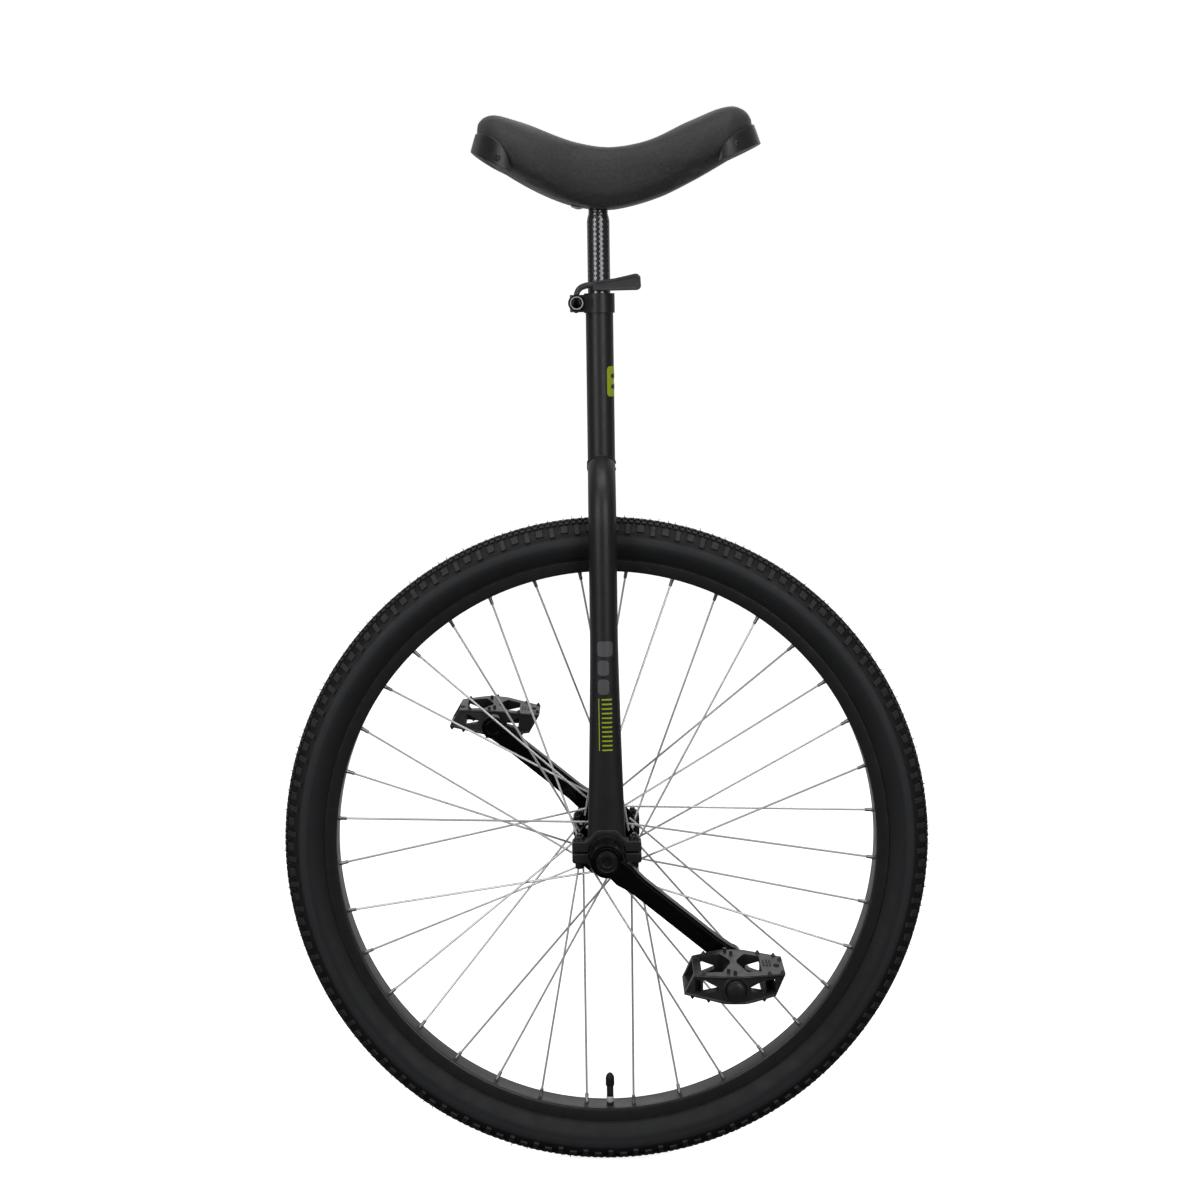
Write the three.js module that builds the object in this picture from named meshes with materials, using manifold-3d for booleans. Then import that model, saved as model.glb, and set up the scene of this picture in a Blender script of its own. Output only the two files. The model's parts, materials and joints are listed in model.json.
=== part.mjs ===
// A unicycle with a 29-inch class wheel, built as the separate pieces that it comes apart into.
// Millimetres, +Z up, +X forward, +Y to the rider's left. The origin is where the tyre meets the ground.
// The wheel turns about the Y axis through (0, 0, WHEEL_RADIUS), and the saddle slides along Z.

import * as THREE from "three";
import { mergeVertices } from "three/addons/utils/BufferGeometryUtils.js";
import Module from "manifold-3d";

const wasm = await Module();
wasm.setup();

// ---------------------------------------------------------------- Driving dimensions

const GAP = 0.3; // clearance between pieces that touch on the real object
const HOLE_PLAY = 0.5; // a bolt hole's radius is this much more than its bolt's
const PAST = 1; // cutting tools run this far past the faces they cut
const RIGHT = -1; // side factors: the right-hand side is -Y
const LEFT = 1;
const SIDES = [RIGHT, LEFT];
const SIDE_NAMES = { [RIGHT]: "right", [LEFT]: "left" };

// Wheel
const WHEEL_RADIUS = 364; // axle height above the ground
const WHEEL_SIDES = 48; // flats around the tyre and rim
const TYRE_HALF_WIDTH = 24;
const RIM_BED_RADIUS = 303.7; // inner edge of the rim, where the spokes enter
const RIM_FLANGE_RADIUS = 317.5;
const RIM_WELL_RADIUS = 308.6;
const TUBE_RING_RADIUS = 336.5;
const TUBE_HALF_WIDTH = 16.5;
const VALVE_RADIUS = 3.8;
const VALVE_SHOULDER = 283.5; // distance from the axle to where the valve's cap begins
const VALVE_CAP_LENGTH = 14.5;
const VALVE_CAP_RADIUS = 5;
const VALVE_CAP_TIP_RADIUS = 2.6;
const VALVE_TIP_RADIUS = 2.7; // the stem's narrow end, inside the cap
const VALVE_GRIP_LENGTH = 9; // straight part of the cap

// Spokes: 36, crossed three times, on two flanges
const SPOKE_COUNT = 36;
const SPOKE_RADIUS = 1;
const NIPPLE_RADIUS = 2;
const NIPPLE_LENGTH = 12;
const SPOKE_THREAD = 4; // length of each spoke inside its nipple
const FIRST_SPOKE_DEG = -15; // rim angle of spoke 0, measured from +X towards +Z
const SPOKE_LEAN_DEG = 60; // a spoke's hub hole is this far round from its rim hole
const SPOKE_STAGGER = 0.45; // spokes leaning forwards and back lie this far apart each way
const FLANGE_HOLE_RADIUS = 30;
const FLANGE_RADIUS = 35.5;
const FLANGE_CENTRE = 31; // distance of each flange from the wheel's middle
const FLANGE_THICKNESS = 3;
const FLANGE_HOLE = 1.4;
const SHELL_RADIUS = 16.5;

// Axle and bearings
const AXLE_RADIUS = 10;
const AXLE_BODY_RADIUS = 11;
const SPACER_RADIUS = 12.6;
const AXLE_JOURNAL_END = 58;
const TAPER_END = 84;
const TAPER_LARGE = 14.4; // across flats of the square taper, inboard
const TAPER_SMALL = 13;
const BEARING_CENTRE = 50; // distance of each bearing from the wheel's middle
const BEARING_WIDTH = 12;
const BEARING_RADIUS = 20;
const RACE_THICKNESS = 2.7;
const BALL_RADIUS = 1.9;
const BALL_COUNT = 9;
const ROUND_SIDES = 28; // flats around the bearings and their seats
const AXLE_BOLT_RADIUS = 4; // the crank bolts' threads

// Frame
const FRAME_TUBE_RADIUS = 15.5;
const FRAME_TUBE_WALL = 2.5;
const NECK_TOP = 977;
const NECK_BOTTOM = 786;
const NECK_SLOT_BOTTOM = 938;
const NECK_SLOT_WIDTH = 3;
const NECK_SLOT_END_RADIUS = 3.2; // the drilled hole that ends the slot
const LEG_OFFSET = BEARING_CENTRE;
const LEG_BOTTOM = 377;
const LEG_BEND_START = 720;
const LEG_BEND_RADIUS = 70;
const LEG_BEND_DEG = 75;
const LEG_STRAIGHT_STEPS = 4;
const LEG_BEND_STEPS = 5;
const LEG_FLARE_TOP = 600; // below this height the leg is pressed flatter and wider
const LEG_FOOT_HALF_WIDTH = 20.8;
const LEG_FOOT_HALF_THICKNESS = 9.3;

// Bearing housings
const HOUSING_WIDTH = 14;
const EAR_REACH = 38.3;
const EAR_HEIGHT = 13.6;
const SPLIT_GAP = 1.2;
const HUMP_HEIGHT = 24; // top of the upper half above the axle
const HUMP_HALF_WIDTH = 11.5;
const CAP_DEPTH = 24; // underside of the lower cap below the axle
const CAP_FLAT_HALF_WIDTH = 11;
const CAP_BOLT_X = 30.3;
const CAP_BOLT_RADIUS = 2.9;
const CAP_BOLT_HEAD_RADIUS = 4.8;
const CAP_BOLT_HEAD_HEIGHT = 6.5;
const CAP_NUT_RADIUS = 5.4;
const CAP_NUT_HEIGHT = 3.6;
const CAP_BOLT_SOCKET = 2.6;
const CAP_EAR_DEPTH = 12.2; // underside of the lower cap's ears below the axle

// Cranks and pedals
const CRANK_LENGTH = 170;
const CRANK_DEG = 39.2; // how far the right crank points below +X
const CRANK_BOSS_RADIUS = 18;
const CRANK_EYE_RADIUS = 13.5;
const CRANK_WIDTH = 20.6;
const CRANK_ROOT_HALF_WIDTH = 16.2; // where the arm leaves its boss
const CRANK_TAPER_LENGTH = 46; // the arm reaches its own width this far from the axle
const CRANK_INNER = 60.5;
const CRANK_ARM_INNER = 78;
const CRANK_OUTER = 92;
const CRANK_BOSS_OUTER = CRANK_OUTER + 1;
const BOLT_RECESS_RADIUS = 12;
const BOLT_RECESS_DEPTH = 6;
const BOLT_HEAD_RADIUS = 11.2;
const BOLT_SOCKET_RADIUS = 4.7;
const BOLT_SOCKET_DEPTH = 4;
const PULLER_THREAD_RADIUS = 8.6;
const SPINDLE_THREAD_RADIUS = 7;
const SPINDLE_COLLAR_RADIUS = 8.6;
const SPINDLE_COLLAR_END = 98;
const SPINDLE_RADIUS = 5.6;
const SPINDLE_END = 171;
const PEDAL_INNER = 102;
const PEDAL_OUTER = 179;
const PEDAL_RAIL_INNER = 113;
const PEDAL_RAIL_OUTER = 162;
const PEDAL_BOW_HALF_LENGTH = 12; // flat middle of each rail's bow
const PEDAL_SHORT = 42.5; // top edge behind the axle, bottom edge ahead of it
const PEDAL_LONG = 53; // top edge ahead of the axle, bottom edge behind it
const PEDAL_END_HALF_HEIGHT = 10.8;
const PEDAL_MID_HALF_HEIGHT = 14.6;
const PEDAL_BORE_RADIUS = 6.6;
const PEDAL_CAP_RADIUS = 10.2;
const PEDAL_CAP_SEAT = SPINDLE_END + 2;
const PEDAL_CAP_END = 184;
const PEDAL_TILT_DEG = { [RIGHT]: 0.7, [LEFT]: 4.8 }; // how far each pedal's front hangs down

// Seat post and clamp
const POST_RADIUS = 12.7;
const POST_WALL = 2;
const POST_BOTTOM = 860;
const PLATE_TOP = 1080.1;
const PLATE_THICKNESS = 3;
const STUD_X = 22;
const STUD_Y = 14;
const STUD_RADIUS = 2.9;
const STUD_BOTTOM = 1072.5;
const PLATE_HALF_LENGTH = 30;
const PLATE_HALF_WIDTH = 21;
const STUD_NUT_RADIUS = 5.2;
const STUD_NUT_HEIGHT = 4;
const COLLAR_RADIUS = 17.4;
const COLLAR_BOTTOM = 957.7;
const COLLAR_TOP = 980;
const COLLAR_SLIT = 2.4;
const SLIT_FRONT = -8; // the slits in collar and neck are cut forwards to here
const CLAMP_X = -25.3; // the clamp's cross bolt
const CLAMP_Z = 969.3;
const EAR_OUTER = 15;
const EAR_FRONT = -6.5;
const CUP_RADIUS = 9.5;
const CUP_END = 27;
const CUP_HOLLOW_RADIUS = 6.2;
const CUP_GROOVE = { inner: 7, outer: 8.2, depth: 0.8 };
const CAM_Y = -20.2;
const CAM_RADIUS = 3;
const CAM_EYE_RADIUS = 4.6;
const CAM_EYE_HALF_HEIGHT = 3.4;
const SKEWER_RADIUS = 2.5;
const NUT_RADIUS = 7.6;
const NUT_END = 23;
const LEVER_ARM_RADIUS = 2.8;
const LEVER_HALF_THICKNESS = 4;
const LEVER_BUTT_X = -6; // rear end of the handle
const LEVER_TIP_X = 46.8;

// Saddle: heights of its underside along X, and its plan outline
const SADDLE_BOTTOM = [
  [-139, 1139],
  [-97, 1112],
  [-50, 1086],
  [8, 1072.5],
  [60, 1084.5],
  [104, 1104],
  [180, 1142],
];
const SADDLE_TOP = [
  [171, 1168],
  [149, 1188],
  [106, 1170],
  [62, 1149],
  [9, 1140],
  [-50, 1155],
  [-111, 1181],
  [-131.5, 1163],
];
const SADDLE_HALF_PLAN = [
  [-131.5, 0],
  [-125, 40],
  [-88, 74],
  [-30, 56],
  [30, 40],
  [90, 47],
  [132, 56],
  [163, 36],
  [171, 0],
];
const BASE_INSET = 6;
const BASE_LIFT = 8; // the base plate sits this far above the lower edge of the cover
const BASE_THICKNESS = 4;
const BUMPER_THICKNESS = 3.2;
const SADDLE_REACH = 90; // cutting outlines for the saddle run this far to either side
const SADDLE_FLOOR = 1040; // and down to this height
const BUMPER_SCREW_RADIUS = 1.9;
const BUMPER_SCREW_HEAD_RADIUS = 4;

// ---------------------------------------------------------------- Materials

function finish(color, roughness, metalness = 0) {
  return new THREE.MeshStandardMaterial({ color, roughness, metalness });
}

const FRAME_PAINT = finish(0x2b2b2d, 0.5, 0.2);
const GLOSS_BLACK = finish(0x0e0d0e, 0.22, 0.3);
const BLACK_STEEL = finish(0x1b1b1c, 0.4, 0.6);
const BRIGHT_STEEL = finish(0xb9bbbd, 0.28, 1);
const TYRE_RUBBER = finish(0x232425, 0.85);
const TUBE_RUBBER = finish(0x1a1a1a, 0.7);
const RIM_PAINT = finish(0x222221, 0.38, 0.3);
const PEDAL_PLASTIC = finish(0x2b2c2c, 0.6);
const BUMPER_PLASTIC = finish(0x38383a, 0.5);
const SADDLE_VINYL = finish(0x3b3a3c, 0.65);
const RIM_TAPE = finish(0x30343a, 0.8);

// ---------------------------------------------------------------- Solids

// A manifold solid from a closed three.js geometry.
function solid(geometry) {
  const source = geometry.index ? geometry.toNonIndexed() : geometry;
  const bare = new THREE.BufferGeometry();
  bare.setAttribute("position", source.getAttribute("position"));
  const merged = mergeVertices(bare, 1e-3);
  const mesh = new wasm.Mesh({
    numProp: 3,
    vertProperties: merged.attributes.position.array,
    triVerts: new Uint32Array(merged.index.array),
  });
  return new wasm.Manifold(mesh);
}

// The three.js geometry of a manifold solid.
function toGeometry(made) {
  const mesh = made.getMesh();
  const geometry = new THREE.BufferGeometry();
  geometry.setAttribute("position", new THREE.BufferAttribute(mesh.vertProperties, 3));
  geometry.setIndex(new THREE.BufferAttribute(mesh.triVerts, 1));
  geometry.computeVertexNormals();
  return geometry;
}

function union(pieces) {
  return pieces.reduce((whole, piece) => whole.add(piece));
}

function cut(whole, tools) {
  return tools.reduce((rest, tool) => rest.subtract(tool), whole);
}

// A round rod, or a cone when its end radius differs, between two [x, y, z] points.
function rod(from, to, radius, sides = 16, endRadius = radius) {
  const start = new THREE.Vector3(...from);
  const end = new THREE.Vector3(...to);
  const along = end.clone().sub(start);
  const geometry = new THREE.CylinderGeometry(endRadius, radius, along.length(), sides);
  const turn = new THREE.Quaternion();
  turn.setFromUnitVectors(new THREE.Vector3(0, 1, 0), along.normalize());
  geometry.applyQuaternion(turn);
  geometry.translate(...start.add(end).multiplyScalar(0.5).toArray());
  return solid(geometry);
}

// A rod along Y, centred on (x, z).
function crossRod(radius, y0, y1, sides = 16, x = 0, z = 0) {
  return rod([x, Math.min(y0, y1), z], [x, Math.max(y0, y1), z], radius, sides);
}

// A rod along Z, centred on (x, y).
function uprightRod(radius, z0, z1, sides = 16, x = 0, y = 0) {
  return rod([x, y, z0], [x, y, z1], radius, sides);
}

function block(x0, x1, y0, y1, z0, z1) {
  const geometry = new THREE.BoxGeometry(x1 - x0, y1 - y0, z1 - z0);
  geometry.translate((x0 + x1) / 2, (y0 + y1) / 2, (z0 + z1) / 2);
  return solid(geometry);
}

function outline(points) {
  return new THREE.Shape(points.map(([a, b]) => new THREE.Vector2(a, b)));
}

// A side outline in X and Z, given thickness from y0 to y1.
function sidePrism(shape, y0, y1, curveSegments = 3) {
  const depth = Math.abs(y1 - y0);
  const geometry = new THREE.ExtrudeGeometry(shape, { depth, bevelEnabled: false, curveSegments });
  geometry.rotateX(Math.PI / 2);
  geometry.translate(0, Math.max(y0, y1), 0);
  return solid(geometry);
}

// A plan outline in X and Y, given height from z0 to z1.
function planPrism(shape, z0, z1) {
  const geometry = new THREE.ExtrudeGeometry(shape, { depth: z1 - z0, bevelEnabled: false });
  geometry.translate(0, 0, z0);
  return solid(geometry);
}

// A turned piece about the Y axis, from a profile of [radius, y] run so that its outside is passed
// in the direction of rising y. The radii are those of the flats, and flats face up and down.
function turned(profile, sides) {
  const toCorner = 1 / Math.cos(Math.PI / sides);
  const points = profile.map(([r, y]) => new THREE.Vector2(r * toCorner, y));
  const geometry = new THREE.LatheGeometry(points, sides);
  geometry.rotateY(Math.PI / sides);
  return solid(geometry);
}

// A turned ring, whose profile closes on itself.
function ring(section, sides) {
  return turned([...section, section[0]], sides);
}

// A plain ring between two radii.
function sleeve(inner, outer, y0, y1, sides) {
  const [low, high] = [Math.min(y0, y1), Math.max(y0, y1)];
  return ring([[inner, low], [outer, low], [outer, high], [inner, high]], sides);
}

// A plain drum.
function drum(radius, y0, y1, sides) {
  const [low, high] = [Math.min(y0, y1), Math.max(y0, y1)];
  return turned([[0, low], [radius, low], [radius, high], [0, high]], sides);
}

// Profile points followed by their mirror images across the wheel's middle plane.
function bothSides(points) {
  return [...points, ...points.map(([r, y]) => [r, -y]).reverse()];
}

// The point at an angle from +X towards +Z, on a circle about the Y axis.
function around(radius, degrees, y) {
  const angle = THREE.MathUtils.degToRad(degrees);
  return [radius * Math.cos(angle), y, radius * Math.sin(angle)];
}

// ---------------------------------------------------------------- Frame

// Half width and half thickness of a leg tube at a height: round above, pressed flat below.
function legSection(z) {
  const flare = Math.max(0, (LEG_FLARE_TOP - z) / (LEG_FLARE_TOP - LEG_BOTTOM)) ** 1.3;
  return {
    halfWidth: THREE.MathUtils.lerp(FRAME_TUBE_RADIUS, LEG_FOOT_HALF_WIDTH, flare),
    halfThickness: THREE.MathUtils.lerp(FRAME_TUBE_RADIUS, LEG_FOOT_HALF_THICKNESS, flare),
  };
}

// One fork leg: straight from its foot, then bent inwards to meet the neck.
function leg(side, inset, foot, sides) {
  const geometry = new THREE.CylinderGeometry(1, 1, 1, sides, LEG_STRAIGHT_STEPS + LEG_BEND_STEPS);
  const position = geometry.getAttribute("position");
  const bend = THREE.MathUtils.degToRad(LEG_BEND_DEG);
  for (let i = 0; i < position.count; i += 1) {
    const step = (position.getY(i) + 0.5) * (LEG_STRAIGHT_STEPS + LEG_BEND_STEPS);
    const angle = (Math.max(0, step - LEG_STRAIGHT_STEPS) / LEG_BEND_STEPS) * bend;
    const straight = THREE.MathUtils.lerp(foot, LEG_BEND_START, Math.min(1, step / LEG_STRAIGHT_STEPS));
    const centreY = side * (LEG_OFFSET - LEG_BEND_RADIUS * (1 - Math.cos(angle)));
    const centreZ = straight + LEG_BEND_RADIUS * Math.sin(angle);
    const { halfWidth, halfThickness } = legSection(straight);
    const across = -position.getZ(i) * (halfThickness - inset);
    position.setXYZ(
      i,
      position.getX(i) * (halfWidth - inset),
      centreY + across * Math.cos(angle),
      centreZ + across * side * Math.sin(angle),
    );
  }
  return solid(geometry);
}

// The welded-on upper half of a bearing housing, before its seat is bored.
function upperHousing(side) {
  const low = WHEEL_RADIUS + SPLIT_GAP / 2;
  const earTop = WHEEL_RADIUS + EAR_HEIGHT;
  const half = [
    [EAR_REACH, low],
    [EAR_REACH, earTop - 2],
    [EAR_REACH - 2, earTop],
    [HUMP_HALF_WIDTH + 9.5, earTop],
    [HUMP_HALF_WIDTH, WHEEL_RADIUS + HUMP_HEIGHT],
  ];
  const mirrored = half.map(([x, z]) => [-x, z]).reverse();
  return sidePrism(outline([...half, ...mirrored]), ...housingSpan(side));
}

function housingSpan(side) {
  return [side * (BEARING_CENTRE - HOUSING_WIDTH / 2), side * (BEARING_CENTRE + HOUSING_WIDTH / 2)];
}

// The round seat that a bearing's outer race sits in.
function bearingSeat(side) {
  const [y0, y1] = housingSpan(side);
  const core = drum(BEARING_RADIUS + GAP, y0 - side, y1 + side, ROUND_SIDES);
  return core.translate([0, 0, WHEEL_RADIUS]);
}

function capBoltHoles(side) {
  const [low, high] = [WHEEL_RADIUS - EAR_REACH, WHEEL_RADIUS + EAR_REACH];
  return [-CAP_BOLT_X, CAP_BOLT_X].map((x) =>
    uprightRod(CAP_BOLT_RADIUS + HOLE_PLAY, low, high, 12, x, side * BEARING_CENTRE),
  );
}

function frame() {
  const tubes = [uprightRod(FRAME_TUBE_RADIUS, NECK_BOTTOM, NECK_TOP, 24)];
  const hollows = [uprightRod(POST_RADIUS + GAP, NECK_BOTTOM + 6, NECK_TOP + PAST, 24)];
  for (const side of SIDES) {
    tubes.push(leg(side, 0, LEG_BOTTOM, 18));
    tubes.push(upperHousing(side));
    hollows.push(leg(side, FRAME_TUBE_WALL, LEG_BOTTOM + 23, 10));
    hollows.push(bearingSeat(side));
    hollows.push(...capBoltHoles(side));
  }
  const [slotRear, half] = [-FRAME_TUBE_RADIUS - PAST, NECK_SLOT_WIDTH / 2];
  const slotEnd = [[slotRear, 0, NECK_SLOT_BOTTOM], [SLIT_FRONT, 0, NECK_SLOT_BOTTOM]];
  hollows.push(block(slotRear, SLIT_FRONT, -half, half, NECK_SLOT_BOTTOM, NECK_TOP + PAST));
  hollows.push(rod(...slotEnd, NECK_SLOT_END_RADIUS, 12));
  return cut(union(tubes), hollows);
}

// The bolted-on lower half of a bearing housing.
function bearingCap(side) {
  const high = WHEEL_RADIUS - SPLIT_GAP / 2;
  const earBottom = WHEEL_RADIUS - CAP_EAR_DEPTH;
  const half = [
    [EAR_REACH, high],
    [EAR_REACH, earBottom + 3],
    [EAR_REACH - 2.5, earBottom],
    [HUMP_HALF_WIDTH + 12, earBottom],
    [CAP_FLAT_HALF_WIDTH, WHEEL_RADIUS - CAP_DEPTH],
  ];
  const mirrored = half.map(([x, z]) => [-x, z]).reverse();
  const whole = sidePrism(outline([...half, ...mirrored]), ...housingSpan(side));
  return cut(whole, [bearingSeat(side), ...capBoltHoles(side)]);
}

// A socket-head bolt that comes up through both ears, and the nut on top of it.
function capBolt(side, x) {
  const y = side * BEARING_CENTRE;
  const headTop = WHEEL_RADIUS - CAP_EAR_DEPTH - GAP;
  const headBottom = headTop - CAP_BOLT_HEAD_HEIGHT;
  const shankTop = WHEEL_RADIUS + EAR_HEIGHT + CAP_NUT_HEIGHT + 1.4;
  const shank = uprightRod(CAP_BOLT_RADIUS, headTop - 1, shankTop, 12, x, y);
  const head = uprightRod(CAP_BOLT_HEAD_RADIUS, headBottom, headTop, 16, x, y);
  const socket = uprightRod(CAP_BOLT_SOCKET, headBottom - PAST, headBottom + 3, 6, x, y);
  return head.add(shank).subtract(socket);
}

function capNut(side, x) {
  const y = side * BEARING_CENTRE;
  const low = WHEEL_RADIUS + EAR_HEIGHT + GAP;
  const high = low + CAP_NUT_HEIGHT;
  const hex = uprightRod(CAP_NUT_RADIUS, low, high, 6, x, y);
  return hex.subtract(uprightRod(CAP_BOLT_RADIUS + GAP, low - PAST, high + PAST, 12, x, y));
}

// ---------------------------------------------------------------- Seat clamp

function clampCollar() {
  const [low, high] = [COLLAR_BOTTOM - PAST, COLLAR_TOP + PAST];
  const rear = CLAMP_X - 8;
  const ringBody = uprightRod(COLLAR_RADIUS, COLLAR_BOTTOM, COLLAR_TOP, 28);
  const ears = block(rear, EAR_FRONT, -EAR_OUTER, EAR_OUTER, COLLAR_BOTTOM + 0.8, COLLAR_TOP - 1.5);
  const bore = uprightRod(FRAME_TUBE_RADIUS + GAP, low, NECK_TOP + GAP, 24);
  const mouth = uprightRod(POST_RADIUS + 2 * GAP, NECK_TOP, high, 24);
  const slit = block(rear - PAST, SLIT_FRONT, -COLLAR_SLIT / 2, COLLAR_SLIT / 2, low, high);
  const boltHole = alongClamp(SKEWER_RADIUS + 0.4, -EAR_OUTER - PAST, EAR_OUTER + PAST);
  return cut(ringBody.add(ears), [bore, mouth, slit, boltHole]);
}

// A rod along the clamp's cross bolt.
function alongClamp(radius, y0, y1, sides = 12) {
  return crossRod(radius, y0, y1, sides, CLAMP_X, CLAMP_Z);
}

// A rod along the cam's upright pin, reaching this far above and below the cross bolt.
function alongCam(radius, reach) {
  return uprightRod(radius, CLAMP_Z - reach, CLAMP_Z + reach, 16, CLAMP_X, CAM_Y);
}

// The cross bolt, with an eye at its right-hand end that the lever's cam runs in.
function skewer() {
  const shaft = alongClamp(SKEWER_RADIUS, CAM_Y, NUT_END + 2);
  const eye = alongCam(CAM_EYE_RADIUS, CAM_EYE_HALF_HEIGHT);
  return shaft.add(eye).subtract(alongCam(CAM_RADIUS + GAP, CAM_EYE_HALF_HEIGHT + PAST));
}

// The round cup that houses the cam and bears on the right-hand ear.
function camCup() {
  const near = -EAR_OUTER - GAP;
  const body = alongClamp(CUP_RADIUS, -CUP_END, near, 24);
  const hollow = alongClamp(CUP_HOLLOW_RADIUS, CAM_Y - CAM_EYE_RADIUS - GAP, near + PAST);
  const [grooveFrom, grooveTo] = [-CUP_END - PAST, -CUP_END + CUP_GROOVE.depth];
  const grooveCore = alongClamp(CUP_GROOVE.inner, grooveFrom - PAST, grooveTo + PAST, 24);
  const groove = alongClamp(CUP_GROOVE.outer, grooveFrom, grooveTo, 24).subtract(grooveCore);
  return cut(body, [hollow, alongCam(CAM_RADIUS + GAP, CUP_RADIUS + PAST), groove]);
}

function skewerNut() {
  const nut = alongClamp(NUT_RADIUS, EAR_OUTER + GAP, NUT_END, 20);
  return nut.subtract(alongClamp(SKEWER_RADIUS + 0.4, EAR_OUTER - PAST, NUT_END + 2));
}

// The lever: an upright cam pin, a bent arm, and a flat handle that lies along the clamp.
function clampLever() {
  const pin = uprightRod(CAM_RADIUS, CLAMP_Z - 8.4, CLAMP_Z + CUP_RADIUS + 3, 16, CLAMP_X, CAM_Y);
  const bend = new THREE.CatmullRomCurve3([
    new THREE.Vector3(CLAMP_X, CAM_Y, CLAMP_Z + CUP_RADIUS + 1.5),
    new THREE.Vector3(CLAMP_X + 2, CAM_Y, CLAMP_Z + 15.5),
    new THREE.Vector3(CLAMP_X + 10, CAM_Y, CLAMP_Z + 18.6),
    new THREE.Vector3(LEVER_BUTT_X + 3, CAM_Y, CLAMP_Z + 20),
  ]);
  const section = new THREE.Shape().absarc(0, 0, LEVER_ARM_RADIUS, 0, 2 * Math.PI);
  const arm = new THREE.ExtrudeGeometry(section, { steps: 10, curveSegments: 5, extrudePath: bend });
  const handle = outline([
    [LEVER_BUTT_X, CLAMP_Z + 14.4],
    [12, CLAMP_Z + 13.2],
    [LEVER_TIP_X - 3, CLAMP_Z + 13.6],
    [LEVER_TIP_X, CLAMP_Z + 16.5],
    [LEVER_TIP_X - 0.5, CLAMP_Z + 29],
    [LEVER_TIP_X - 5, CLAMP_Z + 32.5],
    [LEVER_BUTT_X, CLAMP_Z + 24.6],
  ]);
  const blade = sidePrism(handle, CAM_Y - LEVER_HALF_THICKNESS, CAM_Y + LEVER_HALF_THICKNESS);
  return union([pin, solid(arm), blade]);
}

// ---------------------------------------------------------------- Saddle and post

function seatPost() {
  const plateBottom = PLATE_TOP - PLATE_THICKNESS;
  const tube = uprightRod(POST_RADIUS, POST_BOTTOM, plateBottom + 1, 24);
  const bore = uprightRod(POST_RADIUS - POST_WALL, POST_BOTTOM - PAST, plateBottom - 2, 24);
  const [halfLength, halfWidth] = [PLATE_HALF_LENGTH, PLATE_HALF_WIDTH];
  const plate = block(-halfLength, halfLength, -halfWidth, halfWidth, plateBottom, PLATE_TOP);
  const holes = studPlaces().map(([x, y]) =>
    uprightRod(STUD_RADIUS + HOLE_PLAY, plateBottom - PAST, PLATE_TOP + PAST, 12, x, y),
  );
  return cut(tube.subtract(bore).add(plate), holes);
}

// The four studs' places in plan: right rear, left rear, right front, left front.
function studPlaces() {
  return [-STUD_X, STUD_X].flatMap((x) => SIDES.map((side) => [x, side * STUD_Y]));
}

function saddleNut([x, y]) {
  const high = PLATE_TOP - PLATE_THICKNESS - GAP;
  const low = high - STUD_NUT_HEIGHT;
  const hex = uprightRod(STUD_NUT_RADIUS, low, high, 6, x, y);
  return hex.subtract(uprightRod(STUD_RADIUS + GAP, low - PAST, high + PAST, 12, x, y));
}

// The saddle's side outline, with its lower edge raised by lift.
function saddleSide(lift) {
  const lower = SADDLE_BOTTOM.map(([x, z]) => new THREE.Vector2(x, z + lift));
  const upper = SADDLE_TOP.map(([x, z]) => new THREE.Vector2(x, z));
  const shape = new THREE.Shape();
  shape.moveTo(lower[0].x, lower[0].y);
  shape.splineThru(lower.slice(1));
  shape.lineTo(upper[0].x, upper[0].y);
  shape.splineThru(upper.slice(1));
  return shape;
}

// The saddle's closed plan curve, rear to front on the right and back on the left.
function saddlePlanCurve() {
  const right = SADDLE_HALF_PLAN.map(([x, y]) => new THREE.Vector3(x, -y, 0));
  const left = SADDLE_HALF_PLAN.slice(1, -1).reverse().map(([x, y]) => new THREE.Vector3(x, y, 0));
  return new THREE.CatmullRomCurve3([...right, ...left], true);
}

// A point on the plan curve and the outward direction there.
function saddlePlanPoint(t) {
  const curve = saddlePlanCurve();
  const tangent = curve.getTangentAt(t);
  return { point: curve.getPointAt(t), outward: new THREE.Vector3(tangent.y, -tangent.x, 0) };
}

// The plan outline moved outwards by a distance.
function saddlePlan(offset) {
  const count = 36;
  const points = [];
  for (let i = 0; i < count; i += 1) {
    const { point, outward } = saddlePlanPoint(i / count);
    points.push([point.x + offset * outward.x, point.y + offset * outward.y]);
  }
  return outline(points);
}

function saddleColumn(offset) {
  return planPrism(saddlePlan(offset), SADDLE_FLOOR + 10, SADDLE_FLOOR + 160);
}

// A side outline given the whole width of the saddle and more.
function acrossSaddle(shape) {
  return sidePrism(shape, -SADDLE_REACH, SADDLE_REACH);
}

// Foam and cover in one: a curved pad whose underside is hollowed for the base plate.
function saddleCushion() {
  const pad = acrossSaddle(saddleSide(0)).intersect(saddleColumn(0));
  const hollow = acrossSaddle(underSaddle(BASE_LIFT + BASE_THICKNESS + GAP));
  return pad.subtract(hollow.intersect(saddleColumn(GAP - BASE_INSET)));
}

// Everything below the saddle's lower edge raised by lift.
function underSaddle(lift) {
  const shape = new THREE.Shape();
  const lower = SADDLE_BOTTOM.map(([x, z]) => new THREE.Vector2(x, z + lift));
  shape.moveTo(lower[0].x - 1, SADDLE_FLOOR);
  shape.lineTo(lower[0].x - 1, lower[0].y);
  shape.splineThru(lower.slice(1));
  shape.lineTo(lower[lower.length - 1].x, SADDLE_FLOOR);
  return shape;
}

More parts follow.
